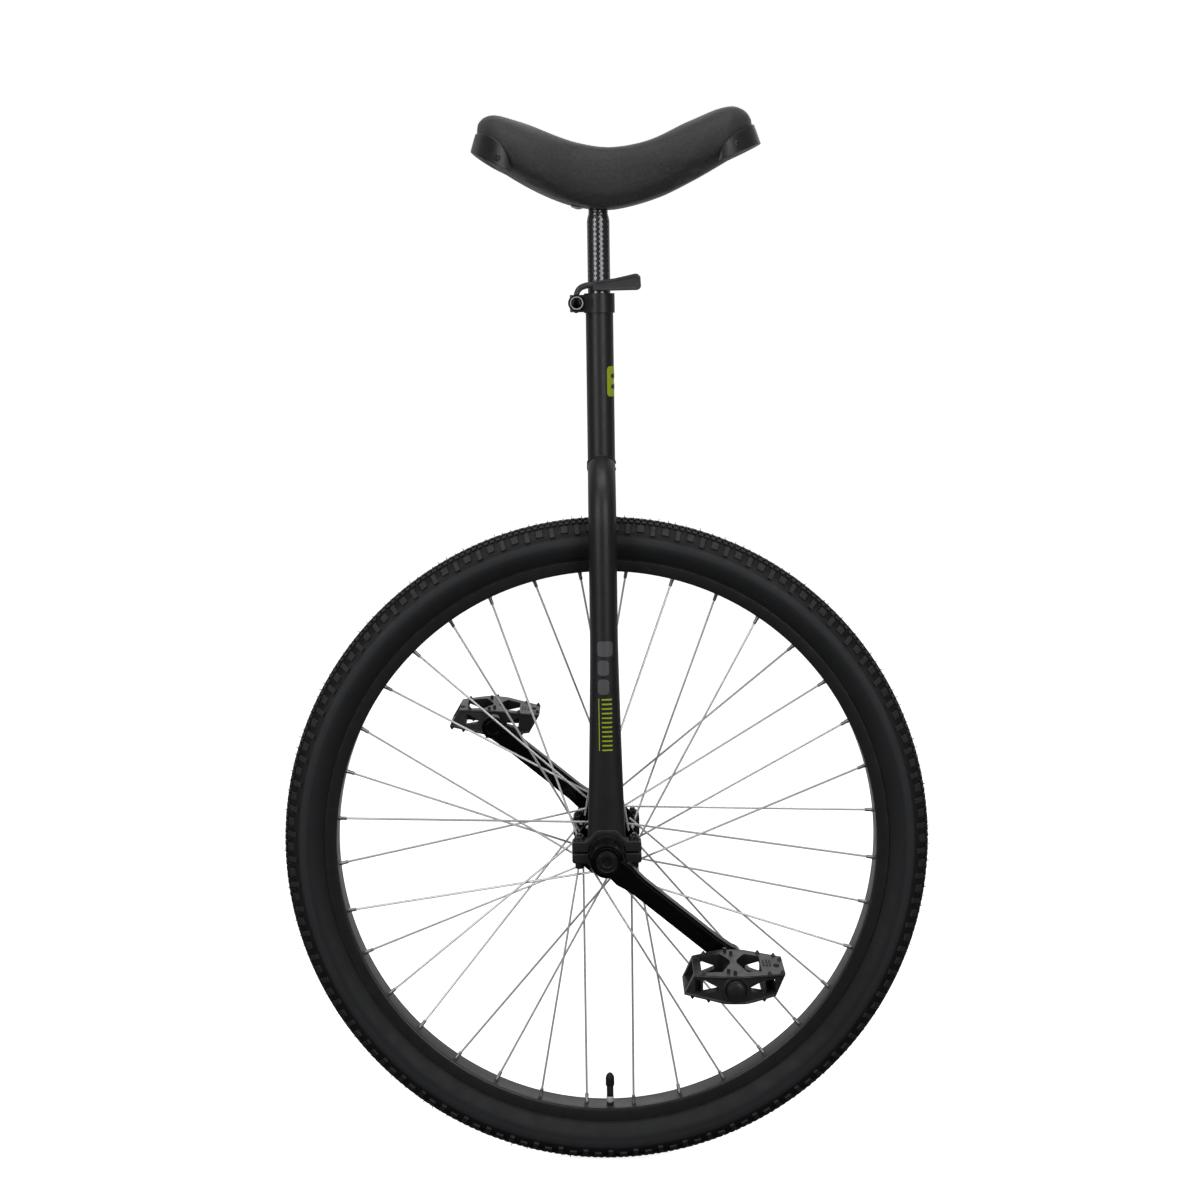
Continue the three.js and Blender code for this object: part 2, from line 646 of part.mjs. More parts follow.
// The stiff base: a curved plate with a flat pad underneath and four studs.
function saddleBase() {
  const band = acrossSaddle(underSaddle(BASE_LIFT + BASE_THICKNESS))
    .subtract(sidePrism(underSaddle(BASE_LIFT), -SADDLE_REACH - PAST, SADDLE_REACH + PAST))
    .intersect(saddleColumn(-BASE_INSET));
  const [halfLength, halfWidth] = [PLATE_HALF_LENGTH, PLATE_HALF_WIDTH + 1];
  const pad = block(-halfLength, halfLength, -halfWidth, halfWidth, PLATE_TOP + GAP, PLATE_TOP + 20)
    .intersect(acrossSaddle(underSaddle(BASE_LIFT + 1)));
  const studs = studPlaces().map(([x, y]) => uprightRod(STUD_RADIUS, STUD_BOTTOM, PLATE_TOP + 2, 12, x, y));
  return union([band, pad, ...studs]);
}

// An end bumper: a band that wraps the saddle's lower edge, cut to its side outline.
function bumper(sideOutline) {
  const wrap = saddleColumn(GAP + BUMPER_THICKNESS).subtract(saddleColumn(GAP));
  return wrap.intersect(acrossSaddle(sideOutline));
}

function rearBumperSide() {
  const shape = new THREE.Shape();
  shape.moveTo(-139, 1136);
  shape.lineTo(-96, 1110.5);
  shape.splineThru([
    new THREE.Vector2(-99, 1129),
    new THREE.Vector2(-107, 1142),
    new THREE.Vector2(-118, 1150),
    new THREE.Vector2(-139, 1156),
  ]);
  return shape;
}

function frontBumperSide() {
  const shape = new THREE.Shape();
  shape.moveTo(136, 1118);
  shape.lineTo(180, 1141);
  shape.lineTo(180, 1166);
  shape.splineThru([
    new THREE.Vector2(160, 1156),
    new THREE.Vector2(149, 1148),
    new THREE.Vector2(140, 1138),
    new THREE.Vector2(136, 1118),
  ]);
  return shape;
}

// A bumper screw at a place on the plan curve: its head outside, its shank through the bumper.
function bumperScrewParts(t, z) {
  const { point, outward } = saddlePlanPoint(t);
  const at = (distance) => [point.x + outward.x * distance, point.y + outward.y * distance, z];
  const skin = GAP + BUMPER_THICKNESS;
  const head = rod(at(skin + 2 * GAP), at(skin + 2.2), BUMPER_SCREW_HEAD_RADIUS, 16);
  return {
    screw: rod(at(GAP + 0.6), at(skin + 1), BUMPER_SCREW_RADIUS, 12).add(head),
    hole: rod(at(-PAST), at(skin + PAST), BUMPER_SCREW_RADIUS + GAP + 0.1, 12),
  };
}

// ---------------------------------------------------------------- Wheel, about its own centre

function tyre() {
  const outside = [
    [311.6, -12.9],
    [RIM_FLANGE_RADIUS + 0.5, -12.9],
    [RIM_FLANGE_RADIUS + 2.5, -15],
    [340, -TYRE_HALF_WIDTH],
    [356, -21.8],
    [WHEEL_RADIUS, -11],
  ];
  const inside = [
    [311.6, 10],
    [340, 20.4],
    [356.5, 9],
  ];
  return ring([...bothSides(outside), ...bothSides(inside)], WHEEL_SIDES);
}

function innerTube() {
  const corners = 8;
  const section = [];
  for (let i = 0; i < corners; i += 1) {
    const [r, , y] = around(TUBE_HALF_WIDTH, (360 / corners) * (i + 0.5), 0);
    section.push([TUBE_RING_RADIUS + r, y]);
  }
  const stem = rod([0, 0, -TUBE_RING_RADIUS + 10], [0, 0, -VALVE_SHOULDER], VALVE_RADIUS, 16);
  const tip = rod([0, 0, -VALVE_SHOULDER - 1], [0, 0, -VALVE_SHOULDER + 8], VALVE_TIP_RADIUS, 12);
  return union([ring(section, WHEEL_SIDES / 2), stem, tip]);
}

function valveCap() {
  const upTo = (height) => [0, 0, -VALVE_SHOULDER + GAP + height];
  const [foot, shoulder, tip] = [0, VALVE_GRIP_LENGTH, VALVE_CAP_LENGTH].map(upTo);
  const grip = rod(foot, shoulder, VALVE_CAP_RADIUS, 12);
  const taper = rod(shoulder, tip, VALVE_CAP_RADIUS, 12, VALVE_CAP_TIP_RADIUS);
  return grip.add(taper).subtract(rod(upTo(-PAST), shoulder, VALVE_TIP_RADIUS + GAP + 0.1, 12));
}

function rim() {
  const tyreSide = [
    [RIM_FLANGE_RADIUS, -15.7],
    [RIM_FLANGE_RADIUS, -13.5],
    [311.3, -13.3],
    [RIM_WELL_RADIUS, -8],
  ];
  const hubSide = [[RIM_BED_RADIUS, 13.1]];
  const section = ring([...bothSides(tyreSide), ...bothSides(hubSide)], WHEEL_SIDES);
  return section.subtract(valveHole());
}

function rimTape() {
  const band = sleeve(RIM_WELL_RADIUS + GAP, RIM_WELL_RADIUS + GAP + 0.6, -7.2, 7.2, WHEEL_SIDES);
  return band.subtract(valveHole());
}

function valveHole() {
  return rod([0, 0, -RIM_FLANGE_RADIUS], [0, 0, -RIM_BED_RADIUS + 10], VALVE_RADIUS + 2 * GAP, 16);
}

// Where spoke k goes: odd spokes reach the right flange, and two in every four lean each way.
function spokePlan(k) {
  const side = k % 2 === 1 ? RIGHT : LEFT;
  const rimDegrees = FIRST_SPOKE_DEG - (360 / SPOKE_COUNT) * k;
  const lean = k % 4 < 2 ? -SPOKE_LEAN_DEG : SPOKE_LEAN_DEG;
  return { side, rimDegrees, hubDegrees: rimDegrees + lean, stagger: Math.sign(lean) * SPOKE_STAGGER };
}

function spokesOf(side) {
  return Array.from({ length: SPOKE_COUNT }, (_, k) => spokePlan(k)).filter((plan) => plan.side === side);
}

// One flange's spokes with their nipples, touching where they are laced across each other.
function spokeSet(side) {
  const flangeFace = FLANGE_CENTRE + FLANGE_THICKNESS / 2;
  const pieces = spokesOf(side).map(({ rimDegrees, hubDegrees, stagger }) => {
    const hubY = side * (flangeFace + SPOKE_RADIUS + 1.6 + stagger);
    const hubEnd = around(FLANGE_HOLE_RADIUS, hubDegrees, hubY);
    const rimEnd = around(RIM_BED_RADIUS - 2 * GAP, rimDegrees, side * 2.5);
    const toHub = new THREE.Vector3(...hubEnd).sub(new THREE.Vector3(...rimEnd)).normalize();
    const along = (distance) => new THREE.Vector3(...rimEnd).addScaledVector(toHub, distance).toArray();
    const nipple = rod(rimEnd, along(NIPPLE_LENGTH), NIPPLE_RADIUS, 4);
    return nipple.add(rod(along(NIPPLE_LENGTH - SPOKE_THREAD), hubEnd, SPOKE_RADIUS, 4));
  });
  return union(pieces);
}

function hubShell() {
  const inner = FLANGE_CENTRE - FLANGE_THICKNESS / 2;
  const outer = FLANGE_CENTRE + FLANGE_THICKNESS / 2;
  const outside = [
    [AXLE_BODY_RADIUS + GAP, -outer - 2],
    [SHELL_RADIUS + 3, -outer - 2],
    [SHELL_RADIUS + 3, -outer],
    [FLANGE_RADIUS, -outer],
    [FLANGE_RADIUS, -inner],
    [SHELL_RADIUS, -inner],
  ];
  const holes = SIDES.flatMap((side) =>
    spokesOf(side).map(({ hubDegrees }) => {
      const [x, , z] = around(FLANGE_HOLE_RADIUS, hubDegrees, 0);
      return crossRod(FLANGE_HOLE, side * (inner - 1), side * (outer + 1), 4, x, z);
    }),
  );
  return cut(ring(bothSides(outside), ROUND_SIDES), holes);
}

function innerRace(side) {
  const y = side * BEARING_CENTRE;
  const half = BEARING_WIDTH / 2;
  return sleeve(AXLE_RADIUS + GAP, AXLE_RADIUS + GAP + RACE_THICKNESS, y - half, y + half, ROUND_SIDES);
}

function outerRace(side) {
  const y = side * BEARING_CENTRE;
  const half = BEARING_WIDTH / 2;
  return sleeve(BEARING_RADIUS - RACE_THICKNESS, BEARING_RADIUS, y - half, y + half, ROUND_SIDES);
}

// A bearing's balls, held in their cage.
function ballCage(side) {
  const y = side * BEARING_CENTRE;
  const pitch = (AXLE_RADIUS + GAP + BEARING_RADIUS) / 2;
  const balls = [];
  for (let i = 0; i < BALL_COUNT; i += 1) {
    const ball = new THREE.OctahedronGeometry(BALL_RADIUS);
    balls.push(solid(ball).translate(around(pitch, (360 / BALL_COUNT) * i, y)));
  }
  return union([sleeve(pitch - 0.6, pitch + 0.6, y - 1.5, y + 1.5, 2 * BALL_COUNT), ...balls]);
}

// ---------------------------------------------------------------- Axle and cranks, right crank along +X

// The square taper at one end of the axle, or with a gap the hole that fits it.
function squareTaper(side, gap) {
  const halfDiagonal = (flats) => (flats / 2 + gap) * Math.SQRT2;
  const inboard = [0, side * (AXLE_JOURNAL_END - 0.5), 0];
  const outboard = [0, side * (TAPER_END + gap), 0];
  return rod(inboard, outboard, halfDiagonal(TAPER_LARGE), 4, halfDiagonal(TAPER_SMALL));
}

function axle() {
  const half = [
    [0, -AXLE_JOURNAL_END],
    [AXLE_RADIUS, -AXLE_JOURNAL_END],
    [AXLE_RADIUS, -BEARING_CENTRE + BEARING_WIDTH / 2 + GAP],
    [SPACER_RADIUS, -BEARING_CENTRE + BEARING_WIDTH / 2 + GAP],
    [SPACER_RADIUS, -FLANGE_CENTRE - 6],
    [AXLE_BODY_RADIUS, -FLANGE_CENTRE - 6],
  ];
  const holes = SIDES.map((side) =>
    crossRod(AXLE_BOLT_RADIUS + GAP + 0.1, side * (AXLE_JOURNAL_END - 1), side * (TAPER_END + PAST), 12),
  );
  return cut(union([turned(bothSides(half), 20), ...SIDES.map((side) => squareTaper(side, 0))]), holes);
}

// The crank's own length runs along +X on the right and along -X on the left.
function crank(side) {
  const reach = (x) => -side * x;
  const half = [
    [8, CRANK_ROOT_HALF_WIDTH],
    [CRANK_TAPER_LENGTH, CRANK_WIDTH / 2],
    [CRANK_LENGTH - 22, CRANK_WIDTH / 2],
    [CRANK_LENGTH - 5, CRANK_EYE_RADIUS - 1],
  ].map(([x, z]) => [reach(x), z]);
  const mirrored = half.map(([x, z]) => [x, -z]).reverse();
  const eyeX = reach(CRANK_LENGTH);
  const pieces = [
    crossRod(CRANK_BOSS_RADIUS, side * CRANK_INNER, side * CRANK_BOSS_OUTER, 28),
    sidePrism(outline([...half, ...mirrored]), side * CRANK_ARM_INNER, side * CRANK_OUTER),
    crossRod(CRANK_EYE_RADIUS, side * CRANK_ARM_INNER, side * CRANK_OUTER, 20, eyeX, 0),
  ];
  const outwards = (radius, y0, y1, sides, x = 0) => crossRod(radius, side * y0, side * y1, sides, x, 0);
  return cut(union(pieces), [
    squareTaper(side, GAP),
    outwards(PULLER_THREAD_RADIUS, TAPER_END - 1, CRANK_BOSS_OUTER + PAST, 16),
    outwards(BOLT_RECESS_RADIUS, CRANK_BOSS_OUTER - BOLT_RECESS_DEPTH, CRANK_BOSS_OUTER + PAST, 24),
    outwards(SPINDLE_THREAD_RADIUS + GAP, CRANK_ARM_INNER - PAST, CRANK_OUTER + PAST, 16, eyeX),
  ]);
}

function crankBolt(side) {
  const headFrom = CRANK_BOSS_OUTER - BOLT_RECESS_DEPTH + GAP;
  const socketFloor = CRANK_OUTER - BOLT_SOCKET_DEPTH;
  const head = crossRod(BOLT_HEAD_RADIUS, side * headFrom, side * CRANK_OUTER, 20);
  const shank = crossRod(AXLE_BOLT_RADIUS, side * (AXLE_JOURNAL_END + 2), side * (headFrom + 1), 12);
  const socket = crossRod(BOLT_SOCKET_RADIUS, side * socketFloor, side * (CRANK_OUTER + PAST), 6);
  return head.add(shank).subtract(socket);
}

// ---------------------------------------------------------------- Pedals, about their own spindle

function pedalSpindle(side) {
  const collarFrom = CRANK_OUTER + GAP;
  return union([
    crossRod(SPINDLE_THREAD_RADIUS, side * (CRANK_ARM_INNER + 0.5), side * collarFrom, 16),
    crossRod(SPINDLE_COLLAR_RADIUS, side * collarFrom, side * SPINDLE_COLLAR_END, 16),
    crossRod(SPINDLE_RADIUS, side * (SPINDLE_COLLAR_END - 1), side * SPINDLE_END, 12),
  ]);
}

// The platform: a leaning six-sided profile, bowed outwards at its middle, and pierced four ways.
function pedalBody(side) {
  const profile = outline([
    [-PEDAL_SHORT, PEDAL_END_HALF_HEIGHT],
    [-PEDAL_LONG, -PEDAL_END_HALF_HEIGHT],
    [0, -PEDAL_MID_HALF_HEIGHT],
    [PEDAL_SHORT, -PEDAL_END_HALF_HEIGHT],
    [PEDAL_LONG, PEDAL_END_HALF_HEIGHT],
    [0, PEDAL_MID_HALF_HEIGHT],
  ]);
  const [reach, bow] = [PEDAL_LONG + 1, PEDAL_BOW_HALF_LENGTH];
  const plan = outline([
    [-reach, side * PEDAL_RAIL_INNER],
    [-bow, side * PEDAL_INNER],
    [bow, side * PEDAL_INNER],
    [reach, side * PEDAL_RAIL_INNER],
    [reach, side * PEDAL_RAIL_OUTER],
    [bow, side * PEDAL_OUTER],
    [-bow, side * PEDAL_OUTER],
    [-reach, side * PEDAL_RAIL_OUTER],
  ]);
  const platform = sidePrism(profile, side * PEDAL_INNER, side * PEDAL_OUTER).intersect(throughPedal(plan));
  const openings = [-1, 1].flatMap((end) => [pedalTopWindow(side, end), pedalSideWindow(side, end)]);
  return cut(platform, [
    ...openings,
    crossRod(PEDAL_BORE_RADIUS, side * (PEDAL_INNER - PAST), side * (PEDAL_OUTER + PAST), 24),
    crossRod(PEDAL_CAP_RADIUS + GAP, side * PEDAL_CAP_SEAT, side * (PEDAL_OUTER + PAST), 28),
  ]);
}

// A plan outline given more than the platform's height.
function throughPedal(plan) {
  return planPrism(plan, -PEDAL_MID_HALF_HEIGHT - PAST, PEDAL_MID_HALF_HEIGHT + PAST);
}

// The opening through the platform from top to bottom, ahead of or behind the spindle.
function pedalTopWindow(side, end) {
  const plan = outline([
    [end * 15, side * (PEDAL_RAIL_INNER + 3)],
    [end * 33, side * (PEDAL_RAIL_INNER + 6)],
    [end * 33, side * (PEDAL_RAIL_OUTER - 6)],
    [end * 15, side * (PEDAL_RAIL_OUTER - 1)],
  ]);
  return throughPedal(plan);
}

// The opening through both rails, narrowing towards the spindle.
function pedalSideWindow(side, end) {
  const shape = outline([
    [end * 17, -3],
    [end * 40, -7],
    [end * 40, 7],
    [end * 17, 3],
  ]);
  return sidePrism(shape, side * (PEDAL_INNER - PAST), side * (PEDAL_OUTER + PAST));
}

function pedalCap(side) {
  return crossRod(PEDAL_CAP_RADIUS, side * (PEDAL_CAP_SEAT + GAP), side * PEDAL_CAP_END, 28);
}

// ---------------------------------------------------------------- Assembly

function add(group, name, piece, material) {
  const mesh = new THREE.Mesh(toGeometry(piece), material);
  mesh.name = name;
  group.add(mesh);
}

function frameGroup() {
  const group = new THREE.Group();
  add(group, "frame", frame(), FRAME_PAINT);
  for (const side of SIDES) {
    const name = SIDE_NAMES[side];
    add(group, `${name}_bearing_cap`, bearingCap(side), FRAME_PAINT);
    for (const [end, x] of [["rear", -CAP_BOLT_X], ["front", CAP_BOLT_X]]) {
      add(group, `${name}_cap_bolt_${end}`, capBolt(side, x), BLACK_STEEL);
      add(group, `${name}_cap_nut_${end}`, capNut(side, x), BLACK_STEEL);
    }
    const race = outerRace(side).translate([0, 0, WHEEL_RADIUS]);
    add(group, `${name}_bearing_outer_race`, race, BRIGHT_STEEL);
  }
  return group;
}

function clampGroup() {
  const group = new THREE.Group();
  add(group, "clamp_collar", clampCollar(), FRAME_PAINT);
  add(group, "clamp_skewer", skewer(), BRIGHT_STEEL);
  add(group, "clamp_cam_cup", camCup(), GLOSS_BLACK);
  add(group, "clamp_nut", skewerNut(), GLOSS_BLACK);
  add(group, "clamp_lever", clampLever(), BLACK_STEEL);
  return group;
}

function saddleGroup() {
  const group = new THREE.Group();
  add(group, "seat_post", seatPost(), GLOSS_BLACK);
  add(group, "saddle_base", saddleBase(), BUMPER_PLASTIC);
  add(group, "saddle_cushion", saddleCushion(), SADDLE_VINYL);
  const ends = [
    { end: "rear", side: rearBumperSide(), screws: { right: 0.06, left: 0.94 }, z: 1129 },
    { end: "front", side: frontBumperSide(), screws: { right: 0.44, left: 0.56 }, z: 1141 },
  ];
  for (const { end, side, screws, z } of ends) {
    const parts = Object.entries(screws).map(([hand, t]) => ({ hand, ...bumperScrewParts(t, z) }));
    add(group, `${end}_bumper`, cut(bumper(side), parts.map((part) => part.hole)), BUMPER_PLASTIC);
    for (const { hand, screw } of parts) {
      add(group, `${end}_bumper_screw_${hand}`, screw, BLACK_STEEL);
    }
  }
  studPlaces().forEach((place, i) => add(group, `saddle_nut_${i + 1}`, saddleNut(place), BRIGHT_STEEL));
  return group;
}

function wheelGroup() {
  const group = new THREE.Group();
  group.position.z = WHEEL_RADIUS;
  add(group, "tyre", tyre(), TYRE_RUBBER);
  add(group, "inner_tube", innerTube(), TUBE_RUBBER);
  add(group, "valve_cap", valveCap(), TUBE_RUBBER);
  add(group, "rim", rim(), RIM_PAINT);
  add(group, "rim_tape", rimTape(), RIM_TAPE);
  add(group, "hub_shell", hubShell(), BLACK_STEEL);
  for (const side of SIDES) {
    add(group, `${SIDE_NAMES[side]}_spokes`, spokeSet(side), BRIGHT_STEEL);
    add(group, `${SIDE_NAMES[side]}_bearing_inner_race`, innerRace(side), BRIGHT_STEEL);
    add(group, `${SIDE_NAMES[side]}_bearing_balls`, ballCage(side), BRIGHT_STEEL);
  }
  group.add(crankGroup());
  for (const side of SIDES) {
    group.add(pedalGroup(side));
  }
  return group;
}

function crankGroup() {
  const group = new THREE.Group();
  group.rotation.y = THREE.MathUtils.degToRad(CRANK_DEG);
  add(group, "axle", axle(), BLACK_STEEL);
  for (const side of SIDES) {
    add(group, `${SIDE_NAMES[side]}_crank`, crank(side), GLOSS_BLACK);
    add(group, `${SIDE_NAMES[side]}_crank_bolt`, crankBolt(side), BLACK_STEEL);
  }
  return group;
}

// A pedal hangs nearly level, whatever the crank's angle.
function pedalGroup(side) {
  const group = new THREE.Group();
  group.position.set(...around(-side * CRANK_LENGTH, -CRANK_DEG, 0));
  group.rotation.y = THREE.MathUtils.degToRad(PEDAL_TILT_DEG[side]);
  add(group, `${SIDE_NAMES[side]}_pedal_spindle`, pedalSpindle(side), BLACK_STEEL);
  add(group, `${SIDE_NAMES[side]}_pedal_body`, pedalBody(side), PEDAL_PLASTIC);
  add(group, `${SIDE_NAMES[side]}_pedal_end_cap`, pedalCap(side), PEDAL_PLASTIC);
  return group;
}

const unicycle = new THREE.Group();
unicycle.add(frameGroup(), clampGroup(), saddleGroup(), wheelGroup());

export default unicycle;
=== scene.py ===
"""A unicycle with a 29-inch class wheel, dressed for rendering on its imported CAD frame.

Shapes are worked out in millimetres and turned into metres when a piece's mesh is made.
+X is forwards, +Y the rider's left, +Z up, and the tyre touches the ground at the origin.
"""

import json
import math
import random

import bmesh
import bpy
from mathutils import Matrix, Vector


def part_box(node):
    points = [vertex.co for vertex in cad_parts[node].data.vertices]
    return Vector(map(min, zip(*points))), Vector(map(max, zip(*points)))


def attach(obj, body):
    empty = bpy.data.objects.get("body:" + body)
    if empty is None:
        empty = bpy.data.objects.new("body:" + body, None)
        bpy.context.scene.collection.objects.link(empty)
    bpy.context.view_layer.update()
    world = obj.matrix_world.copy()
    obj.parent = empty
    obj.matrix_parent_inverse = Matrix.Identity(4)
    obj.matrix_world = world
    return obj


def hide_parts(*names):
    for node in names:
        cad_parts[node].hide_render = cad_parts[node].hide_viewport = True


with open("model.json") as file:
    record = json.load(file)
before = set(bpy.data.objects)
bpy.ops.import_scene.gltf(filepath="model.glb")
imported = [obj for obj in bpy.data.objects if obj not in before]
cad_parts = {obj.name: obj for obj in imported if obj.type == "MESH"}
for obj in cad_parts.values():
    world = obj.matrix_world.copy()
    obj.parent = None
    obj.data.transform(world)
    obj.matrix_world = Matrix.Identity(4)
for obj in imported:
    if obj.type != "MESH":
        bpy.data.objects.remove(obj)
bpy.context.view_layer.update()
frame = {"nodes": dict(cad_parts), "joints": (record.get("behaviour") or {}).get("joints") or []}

# ---------------------------------------------------------------- Driving dimensions

MM = 0.001
RIGHT, LEFT = -1, 1
SIDES = {"right": RIGHT, "left": LEFT}
JOINTS = {joint["name"]: joint for joint in frame["joints"]}


def joint_place(name):
    """Where a joint is, in millimetres."""
    return Vector(JOINTS[name]["pos_m"]) / MM


def node_box(name):
    """The low and high corners of a CAD node, in millimetres."""
    low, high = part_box(name)
    return low / MM, high / MM


AXLE = joint_place("wheel_spin")
TYRE_RADIUS = AXLE.z
RIM_RADIUS = node_box("rim")[1].z - AXLE.z
RIM_HALF_WIDTH = node_box("rim")[1].y
RIM_BED_RADIUS = RIM_RADIUS - 13.8
HOUSING_Y = (node_box("left_bearing_cap")[0].y + node_box("left_bearing_cap")[1].y) / 2
HOUSING_HALF_WIDTH = 8.6
EAR_REACH = node_box("left_bearing_cap")[1].x
CAP_BOLT_X = 30.3
NECK_TOP = node_box("frame")[1].z
TUBE_RADIUS = node_box("frame")[1].y - HOUSING_Y
POST_RADIUS = 12.7
PLATE_TOP = node_box("seat_post")[1].z
COLLAR_LOW, COLLAR_HIGH = node_box("clamp_collar")[0].z, node_box("clamp_collar")[1].z
COLLAR_RADIUS = node_box("clamp_collar")[1].x
CLAMP = joint_place("lever_open")
CRANK_INNER = -node_box("right_crank")[1].y
CRANK_OUTER = -node_box("right_crank")[0].y - 1
CRANK_ARM_INNER = CRANK_OUTER - 14
CRANK_WIDTH = 20.6
CRANK_LENGTH = (joint_place("right_pedal_spin") - AXLE).xz.length
PEDAL_INNER = -node_box("right_pedal_body")[1].y
PEDAL_OUTER = -node_box("right_pedal_body")[0].y

TYRE_CENTRE = 338.4
TYRE_RISE = 22.9
TYRE_HALF_WIDTH = 23.4
TREAD_PITCHES = 78
HAIR_COUNT = 230

SPOKE_COUNT = 36
FIRST_SPOKE_DEG = -15
SPOKE_LEAN_DEG = 60
FLANGE_HOLE_RADIUS = 30
FLANGE_RADIUS = 34.2
FLANGE_CENTRE = 31
FLANGE_HALF_THICKNESS = 1.5

LEG_BOTTOM = AXLE.z + 13
LEG_BEND_START = 720
LEG_BEND_RADIUS = 70
LEG_BEND_DEG = 75
LEG_FLARE_TOP = 600
LEG_FOOT_HALF_WIDTH = 20.8
LEG_FOOT_HALF_THICKNESS = 7.4

# ---------------------------------------------------------------- Shapes: (vertices, faces) in millimetres


def loft(rings, caps=(True, True), closed=False):
    """Rings of points joined in turn by quads, capped at either end or closed on itself."""
    count = len(rings[0])
    vertices = [Vector(point) for ring in rings for point in ring]
    faces = []
    spans = len(rings) if closed else len(rings) - 1
    for r in range(spans):
        here, after = r * count, (r + 1) % len(rings) * count
        for i in range(count):
            j = (i + 1) % count
            faces.append((here + i, here + j, after + j, after + i))
    if caps[0] and not closed:
        faces.append(tuple(reversed(range(count))))
    if caps[1] and not closed:
        faces.append(tuple(range((len(rings) - 1) * count, len(rings) * count)))
    return vertices, faces


def circle(radius, z, count, sides=0):
    """Points round the Z axis: a circle, or a polygon with that many sides."""
    points = []
    for i in range(count):
        angle = 2 * math.pi * i / count
        reach = radius
        if sides:
            within = angle % (2 * math.pi / sides) - math.pi / sides
            reach = radius / math.cos(within)
        points.append((reach * math.cos(angle), reach * math.sin(angle), z))
    return points


def lathe(profile, count=64, closed=False, caps=(True, True)):
    """A profile of (radius, height) turned about Z. A third value makes that level a polygon."""
    rings = [circle(radius, height, count, *sides) for radius, height, *sides in profile]
    return loft(rings, caps, closed)


def on_both_sides(half):
    """Half of an outline, and its mirror image in the second coordinate."""
    return half + [(first, -second) for first, second in reversed(half)]


def placed(shape, at=(0, 0, 0), along=(0, 0, 1)):
    """A shape turned so that its Z axis points along a direction, and moved."""
    turn = Vector((0, 0, 1)).rotation_difference(Vector(along)).to_matrix()
    vertices, faces = shape
    return [turn @ Vector(v) + Vector(at) for v in vertices], faces


def mapped(shape, rule):
    """A shape with a rule applied to each of its points."""
    vertices, faces = shape
    return [Vector(rule(v)) for v in vertices], faces


def prism(outline, low, high):
    """An outline in X and Y given height from low to high."""
    return loft([[(x, y, z) for x, y in outline] for z in (low, high)])


def side_prism(outline, y0, y1):
    """An outline in X and Z given thickness from y0 to y1."""
    return loft([[(x, y, z) for x, z in outline] for y in (y0, y1)])


def tube(points, radii, count):
    """A rod swept through points, with one radius or one for each point."""
    points = [Vector(p) for p in points]
    if not isinstance(radii, (list, tuple)):
        radii = [radii] * len(points)
    tangent = (points[1] - points[0]).normalized()
    across = tangent.orthogonal().normalized()
    rings = []
    for i, point in enumerate(points):
        ahead = points[min(i + 1, len(points) - 1)] - points[max(i - 1, 0)]
        turn = tangent.rotation_difference(ahead.normalized())
        across = turn @ across
        tangent = ahead.normalized()
        up = tangent.cross(across)
        turns = [2 * math.pi * k / count for k in range(count)]
        rings.append([point + (across * math.cos(a) + up * math.sin(a)) * radii[i] for a in turns])
    return loft(rings)


def arc(radius, start, end, steps, centre=(0.0, 0.0)):
    """Points on a plane arc, from one angle to another in degrees."""
    points = []
    for i in range(steps + 1):
        angle = math.radians(start + (end - start) * i / steps)
        points.append((centre[0] + radius * math.cos(angle), centre[1] + radius * math.sin(angle)))
    return points


def around_wheel(radius, degrees, y=0.0):
    """A point on a circle about the axle, from +X towards +Z."""
    angle = math.radians(degrees)
    return Vector((radius * math.cos(angle), y, AXLE.z + radius * math.sin(angle)))


def turned_on_axle(profile, count):
    """A closed profile of (radius, y) turned about the axle."""
    return placed(lathe(profile, count, closed=True), AXLE, (0, 1, 0))


def smooth_curve(points, steps):
    """A Catmull-Rom curve through points."""
    points = [Vector(p) for p in points]
    ends = [2 * points[0] - points[1]] + points + [2 * points[-1] - points[-2]]
    curve = []
    for i in range(1, len(ends) - 2):
        a, b, c, d = ends[i - 1 : i + 3]
        squared = 2 * a - 5 * b + 4 * c - d
        cubed = 3 * b - a - 3 * c + d
        for k in range(steps):
            t = k / steps
            curve.append(0.5 * (2 * b + (c - a) * t + squared * t**2 + cubed * t**3))
    curve.append(points[-1])
    return curve


def height_at(curve, x):
    """The second coordinate of a left-to-right curve at x."""
    if x <= curve[0][0]:
        return curve[0][1]
    for a, b in zip(curve, curve[1:]):
        if a[0] <= x <= b[0]:
            share = (x - a[0]) / max(b[0] - a[0], 1e-6)
            return a[1] + (b[1] - a[1]) * share
    return curve[-1][1]


# ---------------------------------------------------------------- Pieces


def added(name, data):
    """A new object holding this data, linked into the scene."""
    obj = bpy.data.objects.new(name, data)
    bpy.context.scene.collection.objects.link(obj)
    return obj


def mesh_of(shapes, name):
    """One mesh, in metres, holding several shapes."""
    made = bmesh.new()
    for vertices, faces in shapes:
        placed_vertices = [made.verts.new(Vector(v) * MM) for v in vertices]
        for face in faces:
            corners = [placed_vertices[i] for i in face]
            if len(set(corners)) > 2:
                made.faces.new(corners)
    bmesh.ops.remove_doubles(made, verts=made.verts, dist=1e-6)
    bmesh.ops.recalc_face_normals(made, faces=made.faces)
    mesh = bpy.data.meshes.new(name)
    made.to_mesh(mesh)
    made.free()
    return mesh


def shape_of(mesh):
    """The (vertices, faces) of a mesh, back in millimetres."""
    return [v.co / MM for v in mesh.vertices], [tuple(p.vertices) for p in mesh.polygons]


